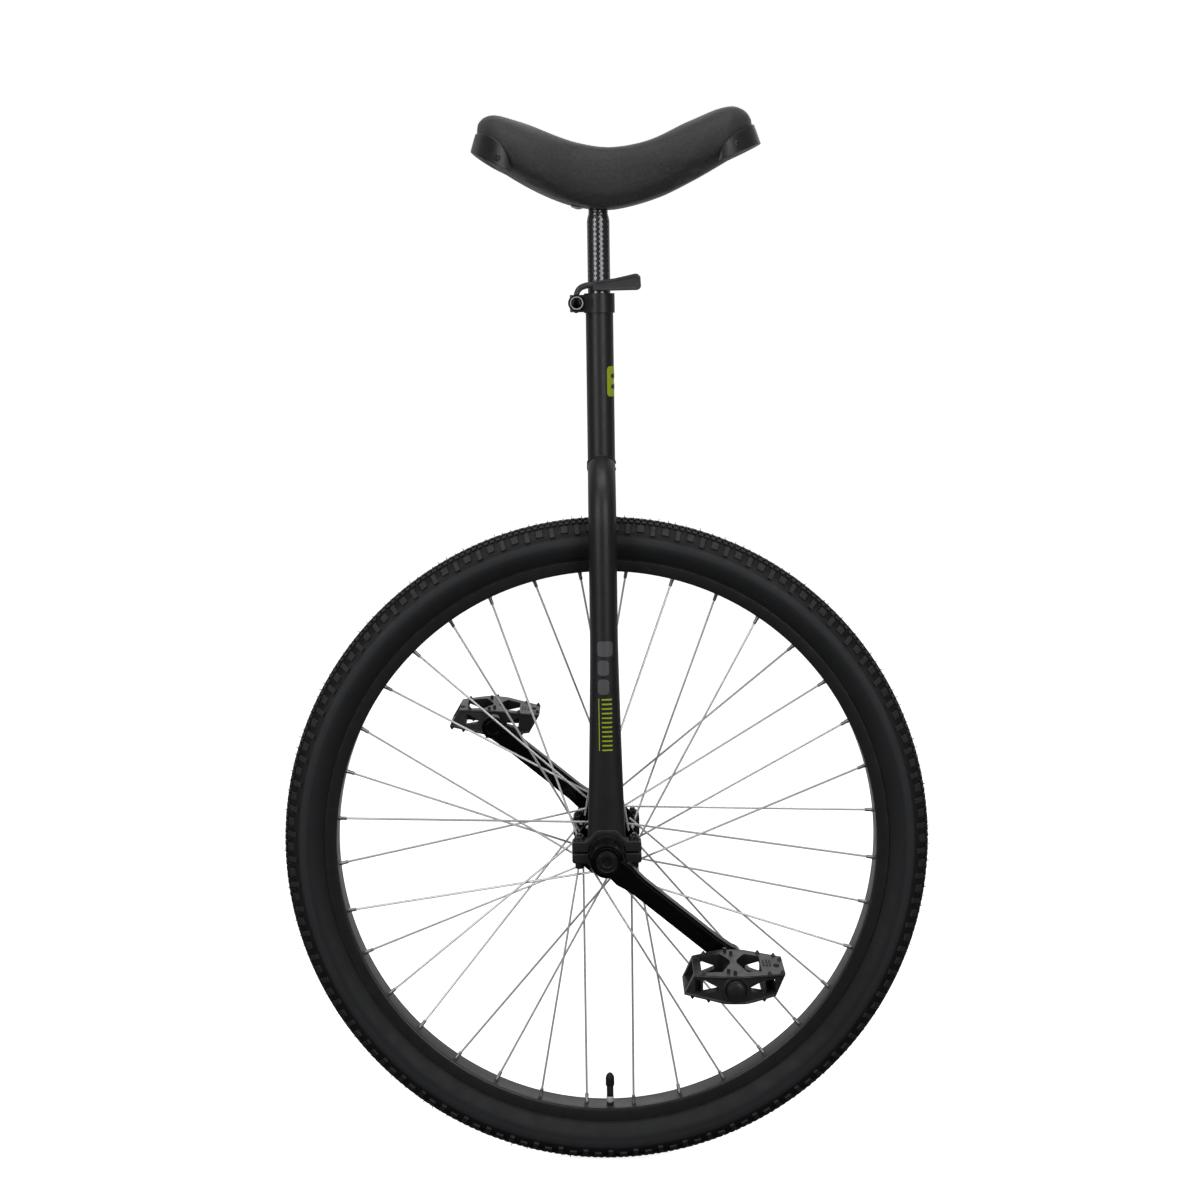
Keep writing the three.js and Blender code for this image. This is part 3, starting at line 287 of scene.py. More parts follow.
def combined(base, tools, operation):
    """A shape cut by other shapes, or kept within them."""
    objects = [added("solid", mesh_of([shape], "solid")) for shape in (base, *tools)]
    body = objects[0]
    for tool in objects[1:]:
        modifier = body.modifiers.new("boolean", "BOOLEAN")
        modifier.operation = operation
        modifier.solver = "EXACT"
        modifier.object = tool
    bpy.context.view_layer.update()
    evaluated = body.evaluated_get(bpy.context.evaluated_depsgraph_get())
    result = shape_of(evaluated.to_mesh())
    evaluated.to_mesh_clear()
    for holder in objects:
        bpy.data.objects.remove(holder)
    return result


def cut(base, tools):
    return combined(base, tools, "DIFFERENCE")


def piece(
    name, shapes, material, body, replaces, slot, bevel=0.0, segments=2, sharp_deg=32, subdivide=0
):
    """An object made of shapes, with rounded edges, that rides on a CAD body."""
    mesh = mesh_of(shapes, name)
    mesh.materials.append(material)
    obj = added(name, mesh)
    if subdivide:
        modifier = obj.modifiers.new("subdivide", "SUBSURF")
        modifier.levels = modifier.render_levels = subdivide
    if bevel:
        modifier = obj.modifiers.new("rounded edges", "BEVEL")
        modifier.width = bevel * MM
        modifier.segments = segments
        modifier.limit_method = "ANGLE"
        modifier.angle_limit = math.radians(sharp_deg)
        modifier.harden_normals = True
    mesh.shade_smooth()
    mesh.set_sharp_from_angle(angle=math.radians(sharp_deg))
    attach(obj, body)
    if replaces:
        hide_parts(*replaces)


# ---------------------------------------------------------------- Materials


def tint(red, green, blue):
    """A linear colour from 0-255 screen values."""

    def linear(value):
        share = value / 255
        return share / 12.92 if share <= 0.04045 else ((share + 0.055) / 1.055) ** 2.4

    return (linear(red), linear(green), linear(blue), 1.0)


class Nodes:
    """A material's node tree, with short ways to add to it."""

    def __init__(self, name):
        self.material = bpy.data.materials.new(name)
        self.material.use_nodes = True
        self.tree = self.material.node_tree
        self.shader = self.tree.nodes["Principled BSDF"]
        self.place = self.tree.nodes.new("ShaderNodeTexCoord").outputs["Object"]

    def node(self, kind, inputs=(), **settings):
        made = self.tree.nodes.new(kind)
        for key, value in settings.items():
            setattr(made, key, value)
        for key, value in dict(inputs).items():
            self.feed(made.inputs[key], value)
        return made

    def feed(self, socket, value):
        if isinstance(value, bpy.types.NodeSocket):
            self.tree.links.new(value, socket)
        else:
            socket.default_value = value

    def noise(self, size_mm, detail=4.0):
        """Noise whose features are about this many millimetres across."""
        scale = {"Vector": self.place, "Scale": 1 / (size_mm * MM), "Detail": detail}
        return self.node("ShaderNodeTexNoise", scale).outputs["Fac"]

    def ramp(self, value, low, high, low_out=0.0, high_out=1.0):
        inputs = {"Value": value, "From Min": low, "From Max": high, "To Min": low_out, "To Max": high_out}
        return self.node("ShaderNodeMapRange", inputs).outputs["Result"]

    def patchy(self, size_mm, low, high):
        """A value that wanders between low and high."""
        return self.ramp(self.noise(size_mm), 0.3, 0.7, low, high)

    def mix(self, factor, first, second):
        made = self.node("ShaderNodeMix", data_type="RGBA")
        self.feed(made.inputs[0], factor)
        self.feed(made.inputs[6], first)
        self.feed(made.inputs[7], second)
        return made.outputs[2]

    def maths(self, operation, first, second=0.0):
        made = self.node("ShaderNodeMath", operation=operation)
        self.feed(made.inputs[0], first)
        self.feed(made.inputs[1], second)
        return made.outputs[0]

    def length(self, *parts):
        squares = [self.maths("MULTIPLY", part, part) for part in parts]
        return self.maths("SQRT", self.maths("ADD", *squares))

    def bump(self, height, strength, depth_mm):
        inputs = {"Height": height, "Strength": strength, "Distance": depth_mm * MM}
        self.feed(self.shader.inputs["Normal"], self.node("ShaderNodeBump", inputs).outputs["Normal"])

    def finish(self, colour, roughness, metallic=0.0, coat=0.0, specular=0.5):
        self.feed(self.shader.inputs["Base Color"], colour)
        self.feed(self.shader.inputs["Roughness"], roughness)
        self.feed(self.shader.inputs["Metallic"], metallic)
        self.feed(self.shader.inputs["Coat Weight"], coat)
        self.feed(self.shader.inputs["Specular IOR Level"], specular)
        return self.material


def rubbed_and_highlit(nodes, colour, rub_and_highlight_colour, amount):
    """A colour that lightens along sharp edges, in patches: partly rubbed paint, partly painted highlight
    lines.
    """
    pointiness = nodes.node("ShaderNodeNewGeometry").outputs["Pointiness"]
    # Sharp edges lighten: partly rubbed finish, partly painted highlight lines.
    edges = nodes.ramp(pointiness, 0.52, 0.62)
    patches = nodes.ramp(nodes.noise(6), 0.45, 0.7)
    factor = nodes.maths("MULTIPLY", nodes.maths("MULTIPLY", edges, patches), amount)
    return nodes.mix(factor, colour, rub_and_highlight_colour)


def painted(
    name, dark, light, roughness, grain=0.12, coat=0.0, edge=(90, 90, 92), edge_rub_and_highlight=0.3, specular=0.5
):
    """Paint over metal: slight orange peel, faint cloudiness, and lighter sharp edges that are partly rubbed
    paint and partly painted highlight.
    """
    nodes = Nodes(name)
    cloud = nodes.noise(55, 3)
    colour = rubbed_and_highlit(nodes, nodes.mix(cloud, tint(*dark), tint(*light)), tint(*edge), edge_rub_and_highlight)
    nodes.bump(nodes.noise(0.9, 2), grain, 0.12)
    gloss = nodes.patchy(14, roughness - 0.04, roughness + 0.05)
    return nodes.finish(colour, gloss, coat=coat, specular=specular)


def metal(name, dark, light, roughness, metallic):
    """Bare metal with a fine grain."""
    nodes = Nodes(name)
    grain = nodes.noise(0.7, 3)
    colour = nodes.mix(grain, tint(*dark), tint(*light))
    nodes.bump(grain, 0.1, 0.05)
    return nodes.finish(colour, nodes.ramp(grain, 0.2, 0.8, roughness - 0.06, roughness + 0.1), metallic)


def moulded(name, dark, light, roughness, grain_mm=0.6):
    """Moulded plastic with a fine spark-eroded grain."""
    nodes = Nodes(name)
    cloud = nodes.mix(nodes.noise(20, 3), tint(*dark), tint(*light))
    colour = rubbed_and_highlit(nodes, cloud, tint(92, 92, 94), 0.35)
    nodes.bump(nodes.noise(grain_mm, 3), 0.35, 0.12)
    return nodes.finish(colour, nodes.patchy(9, roughness - 0.06, roughness + 0.06))


def tyre_rubber():
    """Tyre rubber: dark sidewall, a painted highlight band below the tread, and painted highlights on the
    knobs with painted shade between them.
    """
    nodes = Nodes("tyre_rubber")
    parts = nodes.node("ShaderNodeSeparateXYZ", {"Vector": nodes.place})
    radius = nodes.length(parts.outputs["X"], nodes.maths("SUBTRACT", parts.outputs["Z"], AXLE.z * MM))
    # A paler band on the sidewall below the tread: a painted highlight band.
    band_in = nodes.ramp(radius, 0.3350, 0.3380)
    band_out = nodes.ramp(radius, 0.3440, 0.3465, 1.0, 0.0)
    band = nodes.maths("MULTIPLY", band_in, band_out)
    cloud = nodes.mix(nodes.noise(30, 4), tint(30, 31, 33), tint(38, 39, 41))
    colour = nodes.mix(nodes.maths("MULTIPLY", band, 0.6), cloud, tint(54, 55, 58))
    from_ring = nodes.length(nodes.maths("SUBTRACT", radius, TYRE_CENTRE * MM), parts.outputs["Y"])
    lift = nodes.maths("SUBTRACT", from_ring, TYRE_RISE * MM)
    # Knob tops speckled lighter are painted highlights; the darker rubber between and under the knobs is
    # painted shade.
    knob = nodes.mix(nodes.noise(4, 3), tint(34, 34, 35), tint(64, 63, 64))
    knob = nodes.mix(nodes.ramp(lift, 0.0008, 0.0019), tint(17, 17, 18), knob)
    colour = nodes.mix(nodes.ramp(radius, 0.3435, 0.3465), colour, knob)
    nodes.bump(nodes.noise(0.8, 4), 0.35, 0.15)
    return nodes.finish(colour, nodes.patchy(18, 0.52, 0.68), specular=0.4)


def vinyl():
    """Fine-grained saddle vinyl: small cells with creased gaps, slightly glossier in broad patches."""
    nodes = Nodes("saddle_vinyl")
    scale = {"Vector": nodes.place, "Scale": 1 / (1.15 * MM)}
    cells = nodes.node("ShaderNodeTexVoronoi", scale, feature="DISTANCE_TO_EDGE").outputs["Distance"]
    creases = nodes.ramp(cells, 0.0, 0.22)
    colour = nodes.mix(nodes.noise(26, 4), tint(56, 55, 57), tint(70, 69, 71))
    colour = nodes.mix(nodes.ramp(nodes.noise(3.2, 3), 0.45, 0.7), colour, tint(86, 85, 88))
    colour = nodes.mix(nodes.maths("MULTIPLY", creases, 0.6), tint(44, 43, 45), colour)
    height = nodes.maths("ADD", creases, nodes.maths("MULTIPLY", nodes.noise(5, 3), 1.6))
    nodes.bump(height, 1.0, 0.26)
    return nodes.finish(colour, nodes.ramp(nodes.noise(40, 3), 0.3, 0.7, 0.38, 0.5), specular=0.5)


def knurled():
    """Black-chromed post with fine cross-rolled serrations."""
    nodes = Nodes("knurled_black")
    bands = []
    for angle in (0.0, 55.0, -55.0):
        turn = {"Vector": nodes.place, "Rotation": (0, math.radians(angle), 0)}
        turned = nodes.node("ShaderNodeMapping", turn).outputs["Vector"]
        settings = {"Vector": turned, "Scale": 1 / (10 * MM), "Distortion": 0.0}
        bands.append(nodes.node("ShaderNodeTexWave", settings, bands_direction="Z").outputs["Fac"])
    height = nodes.maths("ADD", bands[0], nodes.maths("ADD", bands[1], bands[2]))
    nodes.bump(height, 0.5, 0.12)
    colour = nodes.mix(nodes.noise(12), tint(96, 96, 98), tint(116, 116, 118))
    return nodes.finish(colour, nodes.ramp(height, 0.4, 2.2, 0.14, 0.24), metallic=0.9)


FRAME_PAINT = painted("frame_paint", (36, 36, 38), (43, 43, 45), 0.4)
GLOSS_BLACK = painted(
    "gloss_black", (6, 5, 6), (10, 9, 10), 0.16, grain=0.02, coat=0.1, edge_rub_and_highlight=0.12, specular=0.2
)
# Black steel's strong edge lightening is partly painted highlight lines, not only wear.
BLACK_STEEL = painted("black_steel", (20, 20, 21), (30, 30, 31), 0.3, grain=0.06, edge_rub_and_highlight=0.5)
LEVER_BLACK = painted("lever_black", (64, 64, 66), (74, 74, 76), 0.34, grain=0.06, edge_rub_and_highlight=0.4)
# The pale edges of dark bolts and rim paint are partly painted highlight lines, not only wear.
DARK_BOLT = painted("dark_bolt", (22, 22, 23), (34, 34, 35), 0.26, 0.05, edge=(120, 120, 122), edge_rub_and_highlight=0.6)
RIM_PAINT = painted("rim_paint", (33, 32, 32), (40, 39, 38), 0.32, 0.05, edge=(120, 118, 114))
BRIGHT_STEEL = metal("bright_steel", (222, 224, 226), (246, 247, 249), 0.24, metallic=0.35)
NICKEL = metal("nickel", (140, 140, 142), (196, 197, 199), 0.3, metallic=0.8)
PEDAL_PLASTIC = moulded("pedal_plastic", (32, 33, 34), (41, 42, 43), 0.4)
BUMPER_PLASTIC = moulded("bumper_plastic", (38, 38, 40), (46, 46, 48), 0.36, grain_mm=0.8)
SOFT_RUBBER = moulded("soft_rubber", (14, 14, 15), (22, 22, 23), 0.6)
GREY_INK = painted("grey_ink", (90, 91, 94), (100, 101, 104), 0.4, edge_rub_and_highlight=0.0)
GREEN_INK = painted("green_ink", (176, 196, 36), (196, 214, 46), 0.38, edge_rub_and_highlight=0.0)
DARK_INK = painted("dark_ink", (26, 28, 22), (34, 36, 28), 0.4, edge_rub_and_highlight=0.0)
TYRE_RUBBER = tyre_rubber()
VINYL = vinyl()
KNURLED = knurled()

# ---------------------------------------------------------------- Frame


def leg_section(z):
    """Half width and half thickness of a leg at a height."""
    flare = max(0.0, (LEG_FLARE_TOP - z) / (LEG_FLARE_TOP - LEG_BOTTOM)) ** 1.3
    half_width = TUBE_RADIUS + (LEG_FOOT_HALF_WIDTH - TUBE_RADIUS) * flare
    half_thickness = TUBE_RADIUS + (LEG_FOOT_HALF_THICKNESS - TUBE_RADIUS) * min(1.0, flare)
    return half_width, half_thickness


def leg_point(side, along, around, grow=0.0):
    """A point on a leg's skin. Along runs 0-1 up the straight and 1-2 round the bend."""
    bend = max(0.0, along - 1) * math.radians(LEG_BEND_DEG)
    straight = LEG_BOTTOM + (LEG_BEND_START - LEG_BOTTOM) * min(1.0, along)
    centre_y = HOUSING_Y - LEG_BEND_RADIUS * (1 - math.cos(bend))
    centre_z = straight + LEG_BEND_RADIUS * math.sin(bend)
    half_width, half_thickness = leg_section(straight)
    across = math.sin(around) * (half_thickness + grow)
    x = math.cos(around) * (half_width + grow)
    return Vector((x, side * (centre_y + across * math.cos(bend)), centre_z + across * math.sin(bend)))


def leg_shape(side):
    """A leg from its housing up into the neck, cut away where the neck's bore is."""
    stations = [i / 26 for i in range(27)] + [1 + i / 18 for i in range(1, 19)]
    turns = [2 * math.pi * k / 48 for k in range(48)]
    leg = loft([[leg_point(side, along, turn) for turn in turns] for along in stations])
    bottom = LEG_BEND_START + LEG_BEND_RADIUS - 3
    return cut(leg, [lathe([(TUBE_RADIUS - 1.5, bottom), (TUBE_RADIUS - 1.5, bottom + 80)], 72)])


def crown_weld(side):
    """The bead where a leg meets the neck, found by following lines along the leg's skin."""
    bead = []
    for k in range(56):
        turn = 2 * math.pi * k / 56
        along = 2.0
        while along > 1 and Vector(leg_point(side, along, turn)[:2]).length < TUBE_RADIUS:
            along -= 0.004
        point = leg_point(side, along, turn, grow=0.1)
        if side * point.y > 0.4:
            bead.append(point)
    start = max(range(len(bead)), key=lambda i: (bead[i] - bead[i - 1]).length)
    ordered = bead[start:] + bead[:start]
    ripple = [1.15 + 0.2 * math.sin(3.1 * i) for i in range(len(ordered))]
    return tube(ordered, ripple, 10)


def neck_shape():
    """The tube the post slides in, open at the top."""
    wall = 2.5
    bottom = LEG_BEND_START + LEG_BEND_RADIUS
    outside = [(TUBE_RADIUS - 1, bottom - 4), (TUBE_RADIUS, bottom - 3), (TUBE_RADIUS, NECK_TOP - 0.6)]
    lip = [(TUBE_RADIUS - 0.6, NECK_TOP), (TUBE_RADIUS - wall, NECK_TOP), (TUBE_RADIUS - wall, NECK_TOP - 60)]
    return lathe(outside + lip, 72)


def housing_outline(top):
    """The upper half's outline above the split, or the cap's below it, as heights away from the axle."""
    ear = 12.4 if top else 11.6
    hump = 25.0 if top else 23.6
    corner = 3.0
    half = [(EAR_REACH, 1.0), (EAR_REACH, ear - corner)]
    half += arc(corner, 0, 90, 4, (EAR_REACH - corner, ear - corner))
    arch = [(26, ear), (22.5, ear + 0.5), (19.5, ear + 3), (14.2, hump - 3), (11, hump - 0.8), (7, hump)]
    half += smooth_curve(arch, 4)
    whole = half + [(-x, z) for x, z in reversed(half)]
    seat = arc(20.2, 178, 2, 28)
    return whole + [(x, z) for x, z in seat if z > 0.7]


def housing(side, top):
    """Half of a bearing housing: the upper one is welded to its leg, the lower one is the cap."""
    flip = 1 if top else -1
    outline = [(x, AXLE.z + flip * z) for x, z in housing_outline(top)]
    y = side * HOUSING_Y
    shape = side_prism(outline, y - HOUSING_HALF_WIDTH, y + HOUSING_HALF_WIDTH)
    if top:
        return shape
    notch = lathe([(7.2, -12), (7.2, 2)], 32)
    return cut(shape, [placed(notch, (x, y, AXLE.z - 16)) for x in (-CAP_BOLT_X, CAP_BOLT_X)])


def build_frame():
    piece("frame_neck", [neck_shape()], FRAME_PAINT, "frame", ["frame"], "frame_paint", bevel=0.3)
    for name, side in SIDES.items():
        piece(f"frame_leg_{name}", [leg_shape(side)], FRAME_PAINT, "frame", ["frame"], "frame_paint")
        piece(f"crown_weld_{name}", [crown_weld(side)], FRAME_PAINT, "frame", ["frame"], "frame_paint")
        for half, node, top in (("housing", "frame", True), ("housing_cap", f"{name}_bearing_cap", False)):
            shapes, edges = [housing(side, top)], {"bevel": 1.3, "segments": 3}
            piece(f"{half}_{name}", shapes, FRAME_PAINT, "frame", [node], "frame_paint", **edges)
        build_cap_bolts(name, side)
        build_bearing(name, side)


def build_cap_bolts(name, side):
    """Socket-head bolts up through the ears, with a washer and nut on top."""
    for end, x in (("rear", -CAP_BOLT_X), ("front", CAP_BOLT_X)):
        low = AXLE.z - 18.8
        bolt = [(2.5, low + 3, 6), (2.5, low, 6), (4.2, low), (4.8, low + 0.7), (4.8, low + 6)]
        bolt += [(3, low + 6), (3, AXLE.z + 18.6), (2.3, AXLE.z + 19.4)]
        at = (x, side * HOUSING_Y, 0)
        names, shapes = [f"{name}_cap_bolt_{end}"], [placed(lathe(bolt, 36), at)]
        piece(f"cap_bolt_{name}_{end}", shapes, DARK_BOLT, "frame", names, "black_steel", bevel=0.15)
        low = AXLE.z + 13.4
        nut = [(4.4, low), (4.75, low + 0.3, 6), (4.75, low + 3.2, 6), (4.3, low + 3.7), (3, low + 3.7)]
        washer = [(3, low - 1), (6.4, low - 1), (6.6, low - 0.5), (6.4, low), (3, low)]
        names, shapes = [f"{name}_cap_nut_{end}"], [placed(lathe(part, 36), at) for part in (nut, washer)]
        piece(f"cap_nut_{name}_{end}", shapes, DARK_BOLT, "frame", names, "black_steel")


def build_bearing(name, side):
    """The bearing's outer race with its rubber shield, and the inner race on the axle."""
    face = side * (HOUSING_Y + 6)
    back = side * (HOUSING_Y - 6)
    race = [(17.4, back), (19.6, back), (20, back + side), (20, face - side), (19.6, face), (17.4, face)]
    proud = face + side * 0.6
    shield = [(13.6, face - side), (13.6, proud), (19.0, proud), (19.4, face), (17.4, face - side)]
    node = f"{name}_bearing_outer_race"
    piece(f"outer_race_{name}", [turned_on_axle(race, 64)], NICKEL, "frame", [node], "bright_steel")
    piece(f"bearing_shield_{name}", [turned_on_axle(shield, 64)], SOFT_RUBBER, "frame", [], "tube_rubber")
    inner = [(10.4, back), (13.2, back), (13.2, face), (10.4, face)]
    node = f"{name}_bearing_inner_race"
    piece(f"inner_race_{name}", [turned_on_axle(inner, 64)], NICKEL, "wheel", [node], "bright_steel")


# ---------------------------------------------------------------- Decals: plain shapes, no lettering

DECAL_LIFT = 0.15


def rounded_rectangle(width, height, corner):
    """An outline round the origin, with five steps to each corner."""
    points = []
    for start, sx, sy in ((0, 1, 1), (90, -1, 1), (180, -1, -1), (270, 1, -1)):
        centre = (sx * (width / 2 - corner), sy * (height / 2 - corner))
        points += arc(corner, start, start + 90, 5, centre)
    return points


def dense(outline, step=1.5):
    """An outline with extra points, so that it can follow a curved surface."""
    points = []
    for (x0, y0), (x1, y1) in zip(outline, outline[1:] + outline[:1]):
        parts = max(1, math.ceil(math.hypot(x1 - x0, y1 - y0) / step))
        points += [(x0 + (x1 - x0) * i / parts, y0 + (y1 - y0) * i / parts) for i in range(parts)]
    return points


def patch(outline, centre, to_surface):
    """A flat outline laid on a surface."""
    shares = [1.0, 0.9, 0.75, 0.6, 0.45, 0.3, 0.15]
    rings = [[to_surface(centre[0] + x * s, centre[1] + z * s) for x, z in dense(outline)] for s in shares]
    return loft(rings, caps=(False, True))


def on_leg(side):
    """A rule that lays points on a leg's outer face."""

    def to_surface(x, z):
        half_width, half_thickness = leg_section(z)
        reach = half_thickness * math.sqrt(1 - (x / half_width) ** 2)
        return Vector((x, side * (HOUSING_Y + reach + DECAL_LIFT), z))

    return to_surface


def on_neck_front(across, z):
    """A point this far round the neck from its front."""
    angle = across / TUBE_RADIUS
    reach = TUBE_RADIUS + DECAL_LIFT
    return Vector((reach * math.cos(angle), reach * math.sin(angle), z))


def build_decals():
    """Grey blocks and green rungs down each leg, and a green badge on the front of the neck."""
    for name, side in SIDES.items():
        surface = on_leg(side)
        bars = []
        for i, width in enumerate((17.0, 12.5, 12.5)):
            bar = rounded_rectangle(width, 17.0, 4.0)
            bars.append(patch(bar, (width / 2 - 7.5, 590.5 - 21.0 * i), surface))
        piece(f"leg_bars_{name}", bars, GREY_INK, "frame", [], "frame_paint")
        rungs = []
        for i in range(12):
            rungs.append(patch(rounded_rectangle(11.5, 1.7, 0.8), (2.2, 534.5 - 5.1 * i), surface))
        rungs.append(patch(rounded_rectangle(0.9, 58, 0.4), (-6.6, 506.5), surface))
        piece(f"leg_rungs_{name}", rungs, GREEN_INK, "frame", [], "frame_paint")
    badge = patch(rounded_rectangle(33, 34, 4), (0, 881), on_neck_front)
    piece("neck_badge", [badge], GREEN_INK, "frame", [], "frame_paint")
    marks = []
    for z in (875, 887):
        raised = patch(rounded_rectangle(22, 5, 2.4), (0, z), on_neck_front)
        marks.append(mapped(raised, lambda v: (v.x * 1.008, v.y * 1.008, v.z)))
    piece("neck_badge_marks", marks, DARK_INK, "frame", [], "frame_paint")


# ---------------------------------------------------------------- Wheel


def tyre_point(degrees, section_deg, lift=0.0):
    """A point on the tyre: how far round the wheel, and how far round its section from the crown."""
    section = math.radians(section_deg)
    radius = TYRE_CENTRE + (TYRE_RISE + lift) * math.cos(section)
    return around_wheel(radius, degrees, (TYRE_HALF_WIDTH + lift) * math.sin(section))


def tyre_carcass():
    """The tyre without its tread, with a raised band round each shoulder."""
    section = []
    for i in range(45):
        degrees = -112 + 224 * i / 44
        angle = math.radians(degrees)
        ridge = 0.5 if 49 < abs(degrees) < 66 else 0.0
        radius = TYRE_CENTRE + (TYRE_RISE + ridge) * math.cos(angle)
        section.append((radius, (TYRE_HALF_WIDTH + ridge) * math.sin(angle)))
    bead = [(323.5, 17.8), (319.5, 14.2), (318.4, 13.2), (313, 12.9)]
    lower = [(radius, -y) for radius, y in reversed(bead)]
    return turned_on_axle(lower + section + bead, 240)


def tread_block(degrees, length_mm, section_from, section_to, lift):
    """A knob standing on the tyre, slightly smaller at its top."""
    half = math.degrees(length_mm / 2 / TYRE_RADIUS)
    rings = []
    for height, share in ((-0.8, 1.0), (lift, 0.84)):
        middle = (section_from + section_to) / 2
        reach = (section_to - section_from) / 2 * share
        ring = []
        for along, across in ((-1, -1), (1, -1), (1, 1), (-1, 1)):
            ring.append(tyre_point(degrees + along * half * share, middle + across * reach, height))
        rings.append(ring)
    return loft(rings)


def tread():
    """Two staggered rows of small knobs on the crown, a row either side, and long and short side knobs."""
    blocks = []
    pitch = 360 / TREAD_PITCHES
    for i in range(TREAD_PITCHES):
        start = i * pitch
        for side in (-1, 1):
            shift = 0.25 * pitch * (side > 0)
            blocks.append(tread_block(start + shift, 9.5, side * 37, side * 61, 2.5))
            blocks.append(tread_block(start + shift + 0.5 * pitch, 6.5, side * 36, side * 69, 2.6))
            for small in range(4):
                at = start + pitch * (small + 0.5 * (side > 0)) / 4
                blocks.append(tread_block(at, 6.0, side * 1, side * 14, 2.3))
                blocks.append(tread_block(at + pitch / 8, 5.4, side * 18, side * 30, 2.2))
    return blocks


def tyre_hairs():
    """The small rubber hairs that moulding leaves on the crown, but for those pressed into the ground."""
    rng = random.Random(7)
    hairs = []
    for i in range(HAIR_COUNT):
        degrees = i * 360 / HAIR_COUNT + rng.uniform(-0.3, 0.3)
        section = rng.uniform(-16, 16)
        foot = tyre_point(degrees, section, 1.0)
        tip = tyre_point(degrees + rng.uniform(-0.2, 0.2), section, rng.uniform(3.0, 5.0))
        if tip.z > 1:
            hairs.append(tube([foot, tip], [0.5, 0.35], 5))
    return hairs


def rim_profile():
    """Hooked flange, sloping wall, and the flat bed the nipples sit in."""
    top = [(6, 12.4), (1.6, 13.6), (0.5, 14.2), (0, 14.9), (0.5, RIM_HALF_WIDTH - 0.1), (1.6, RIM_HALF_WIDTH)]
    bed = [(2.6, 1.3), (1.2, 1.7), (0.4, 2.4), (0.1, 3.4), (0.5, 4.4), (0.4, 5.2), (0, RIM_HALF_WIDTH - 6)]
    half = [(RIM_RADIUS - depth, y) for depth, y in top]
    return on_both_sides(half + [(RIM_BED_RADIUS + rise, RIM_HALF_WIDTH - inset) for rise, inset in bed])


def spoke_plan(k):
    """Flange side, rim angle, hub angle and whether the spoke leaves the flange's outer face."""
    side = RIGHT if k % 2 else LEFT
    rim_degrees = FIRST_SPOKE_DEG - 360 / SPOKE_COUNT * k
    outside = k % 4 < 2
    lean = -SPOKE_LEAN_DEG if outside else SPOKE_LEAN_DEG
    return side, rim_degrees, rim_degrees + lean, outside


def spoke_shapes(k):
    """A spoke with its head and elbow, and its nipple."""
    side, rim_degrees, hub_degrees, outside = spoke_plan(k)
    face = FLANGE_CENTRE + (FLANGE_HALF_THICKNESS + 1) * (1 if outside else -1)
    back = FLANGE_CENTRE - (FLANGE_HALF_THICKNESS + 0.6) * (1 if outside else -1)
    rim_end = around_wheel(RIM_BED_RADIUS, rim_degrees, side * 2.5)
    hole = around_wheel(FLANGE_HOLE_RADIUS, hub_degrees, side * face)
    head = around_wheel(FLANGE_HOLE_RADIUS, hub_degrees, side * back)
    run = (rim_end - hole).normalized()
    through = (hole - head).normalized()
    nipple_end = rim_end - run * 9.5
    elbow = [hole - through * 1.2, hole - through * 0.4 + run * 0.3, hole + run * 1.2]
    spoke = tube([head, *elbow, nipple_end + run * 3], 1.2, 10)
    button = placed(lathe([(0, -1.1), (1.3, -1.0), (2.1, -0.2), (1.7, 0.5), (0, 0.6)], 14), head, through)
    profile = [(1.2, -9.5), (1.75, -9.3), (1.95, -8.6), (2.0, -3.2), (2.3, -2.6), (2.3, 0.6)]
    nipple = placed(lathe(profile, 14), rim_end, run)
    return [spoke, button], [nipple]


def hub_profile():
    """From the middle of the barrel's end, over the flange's rim, to the slim barrel."""
    outer = FLANGE_CENTRE + FLANGE_HALF_THICKNESS
    inner = FLANGE_CENTRE - FLANGE_HALF_THICKNESS
    rounding = FLANGE_RADIUS - 0.8
    half = [(12.8, outer + 2.5), (19, outer + 2.4), (20.5, outer + 0.8), (22, outer), (rounding, outer)]
    half += [(FLANGE_RADIUS, outer - 0.8), (FLANGE_RADIUS, inner + 0.8), (rounding, inner), (22, inner)]
    return on_both_sides(half + [(18.5, inner - 2), (16.8, inner - 5), (16.4, 8)])


def build_wheel():
    piece("tyre_carcass", [tyre_carcass()], TYRE_RUBBER, "wheel", ["tyre"], "tyre_rubber", sharp_deg=60)
    piece("tyre_tread", tread(), TYRE_RUBBER, "wheel", ["tyre"], "tyre_rubber", bevel=0.35, segments=1)
    piece("tyre_hairs", tyre_hairs(), TYRE_RUBBER, "wheel", ["tyre"], "tyre_rubber")
    piece("rim_extrusion", [turned_on_axle(rim_profile(), 240)], RIM_PAINT, "wheel", ["rim"], "rim_paint")
    ends = ((RIM_RADIUS - 1, -15.76), (RIM_BED_RADIUS + 1.4, -14.2))
    seam = [around_wheel(radius, 172.4, y) for radius, y in ends]
    piece("rim_seam", [tube(seam, 0.22, 6)], SOFT_RUBBER, "wheel", [], "rim_paint")
    dot = lathe([(0, 0.12), (1.1, 0.1), (1.2, -0.3)], 16)
    dot = placed(dot, around_wheel(309.5, 80.3, -14.9), (0, -1, 0.1))
    piece("rim_wear_dot", [dot], SOFT_RUBBER, "wheel", [], "rim_paint")
    for name, side in SIDES.items():
        numbers = [k for k in range(SPOKE_COUNT) if spoke_plan(k)[0] == side]
        wires = [shape for k in numbers for shape in spoke_shapes(k)[0]]
        nipples = [shape for k in numbers for shape in spoke_shapes(k)[1]]
        node = f"{name}_spokes"
        piece(f"spoke_wires_{name}", wires, BRIGHT_STEEL, "wheel", [node], "bright_steel")
        piece(f"spoke_nipples_{name}", nipples, NICKEL, "wheel", [node], "bright_steel")
    hub = turned_on_axle(hub_profile(), 96)
    piece("hub_body", [hub], GLOSS_BLACK, "wheel", ["hub_shell"], "black_steel")
    build_valve()


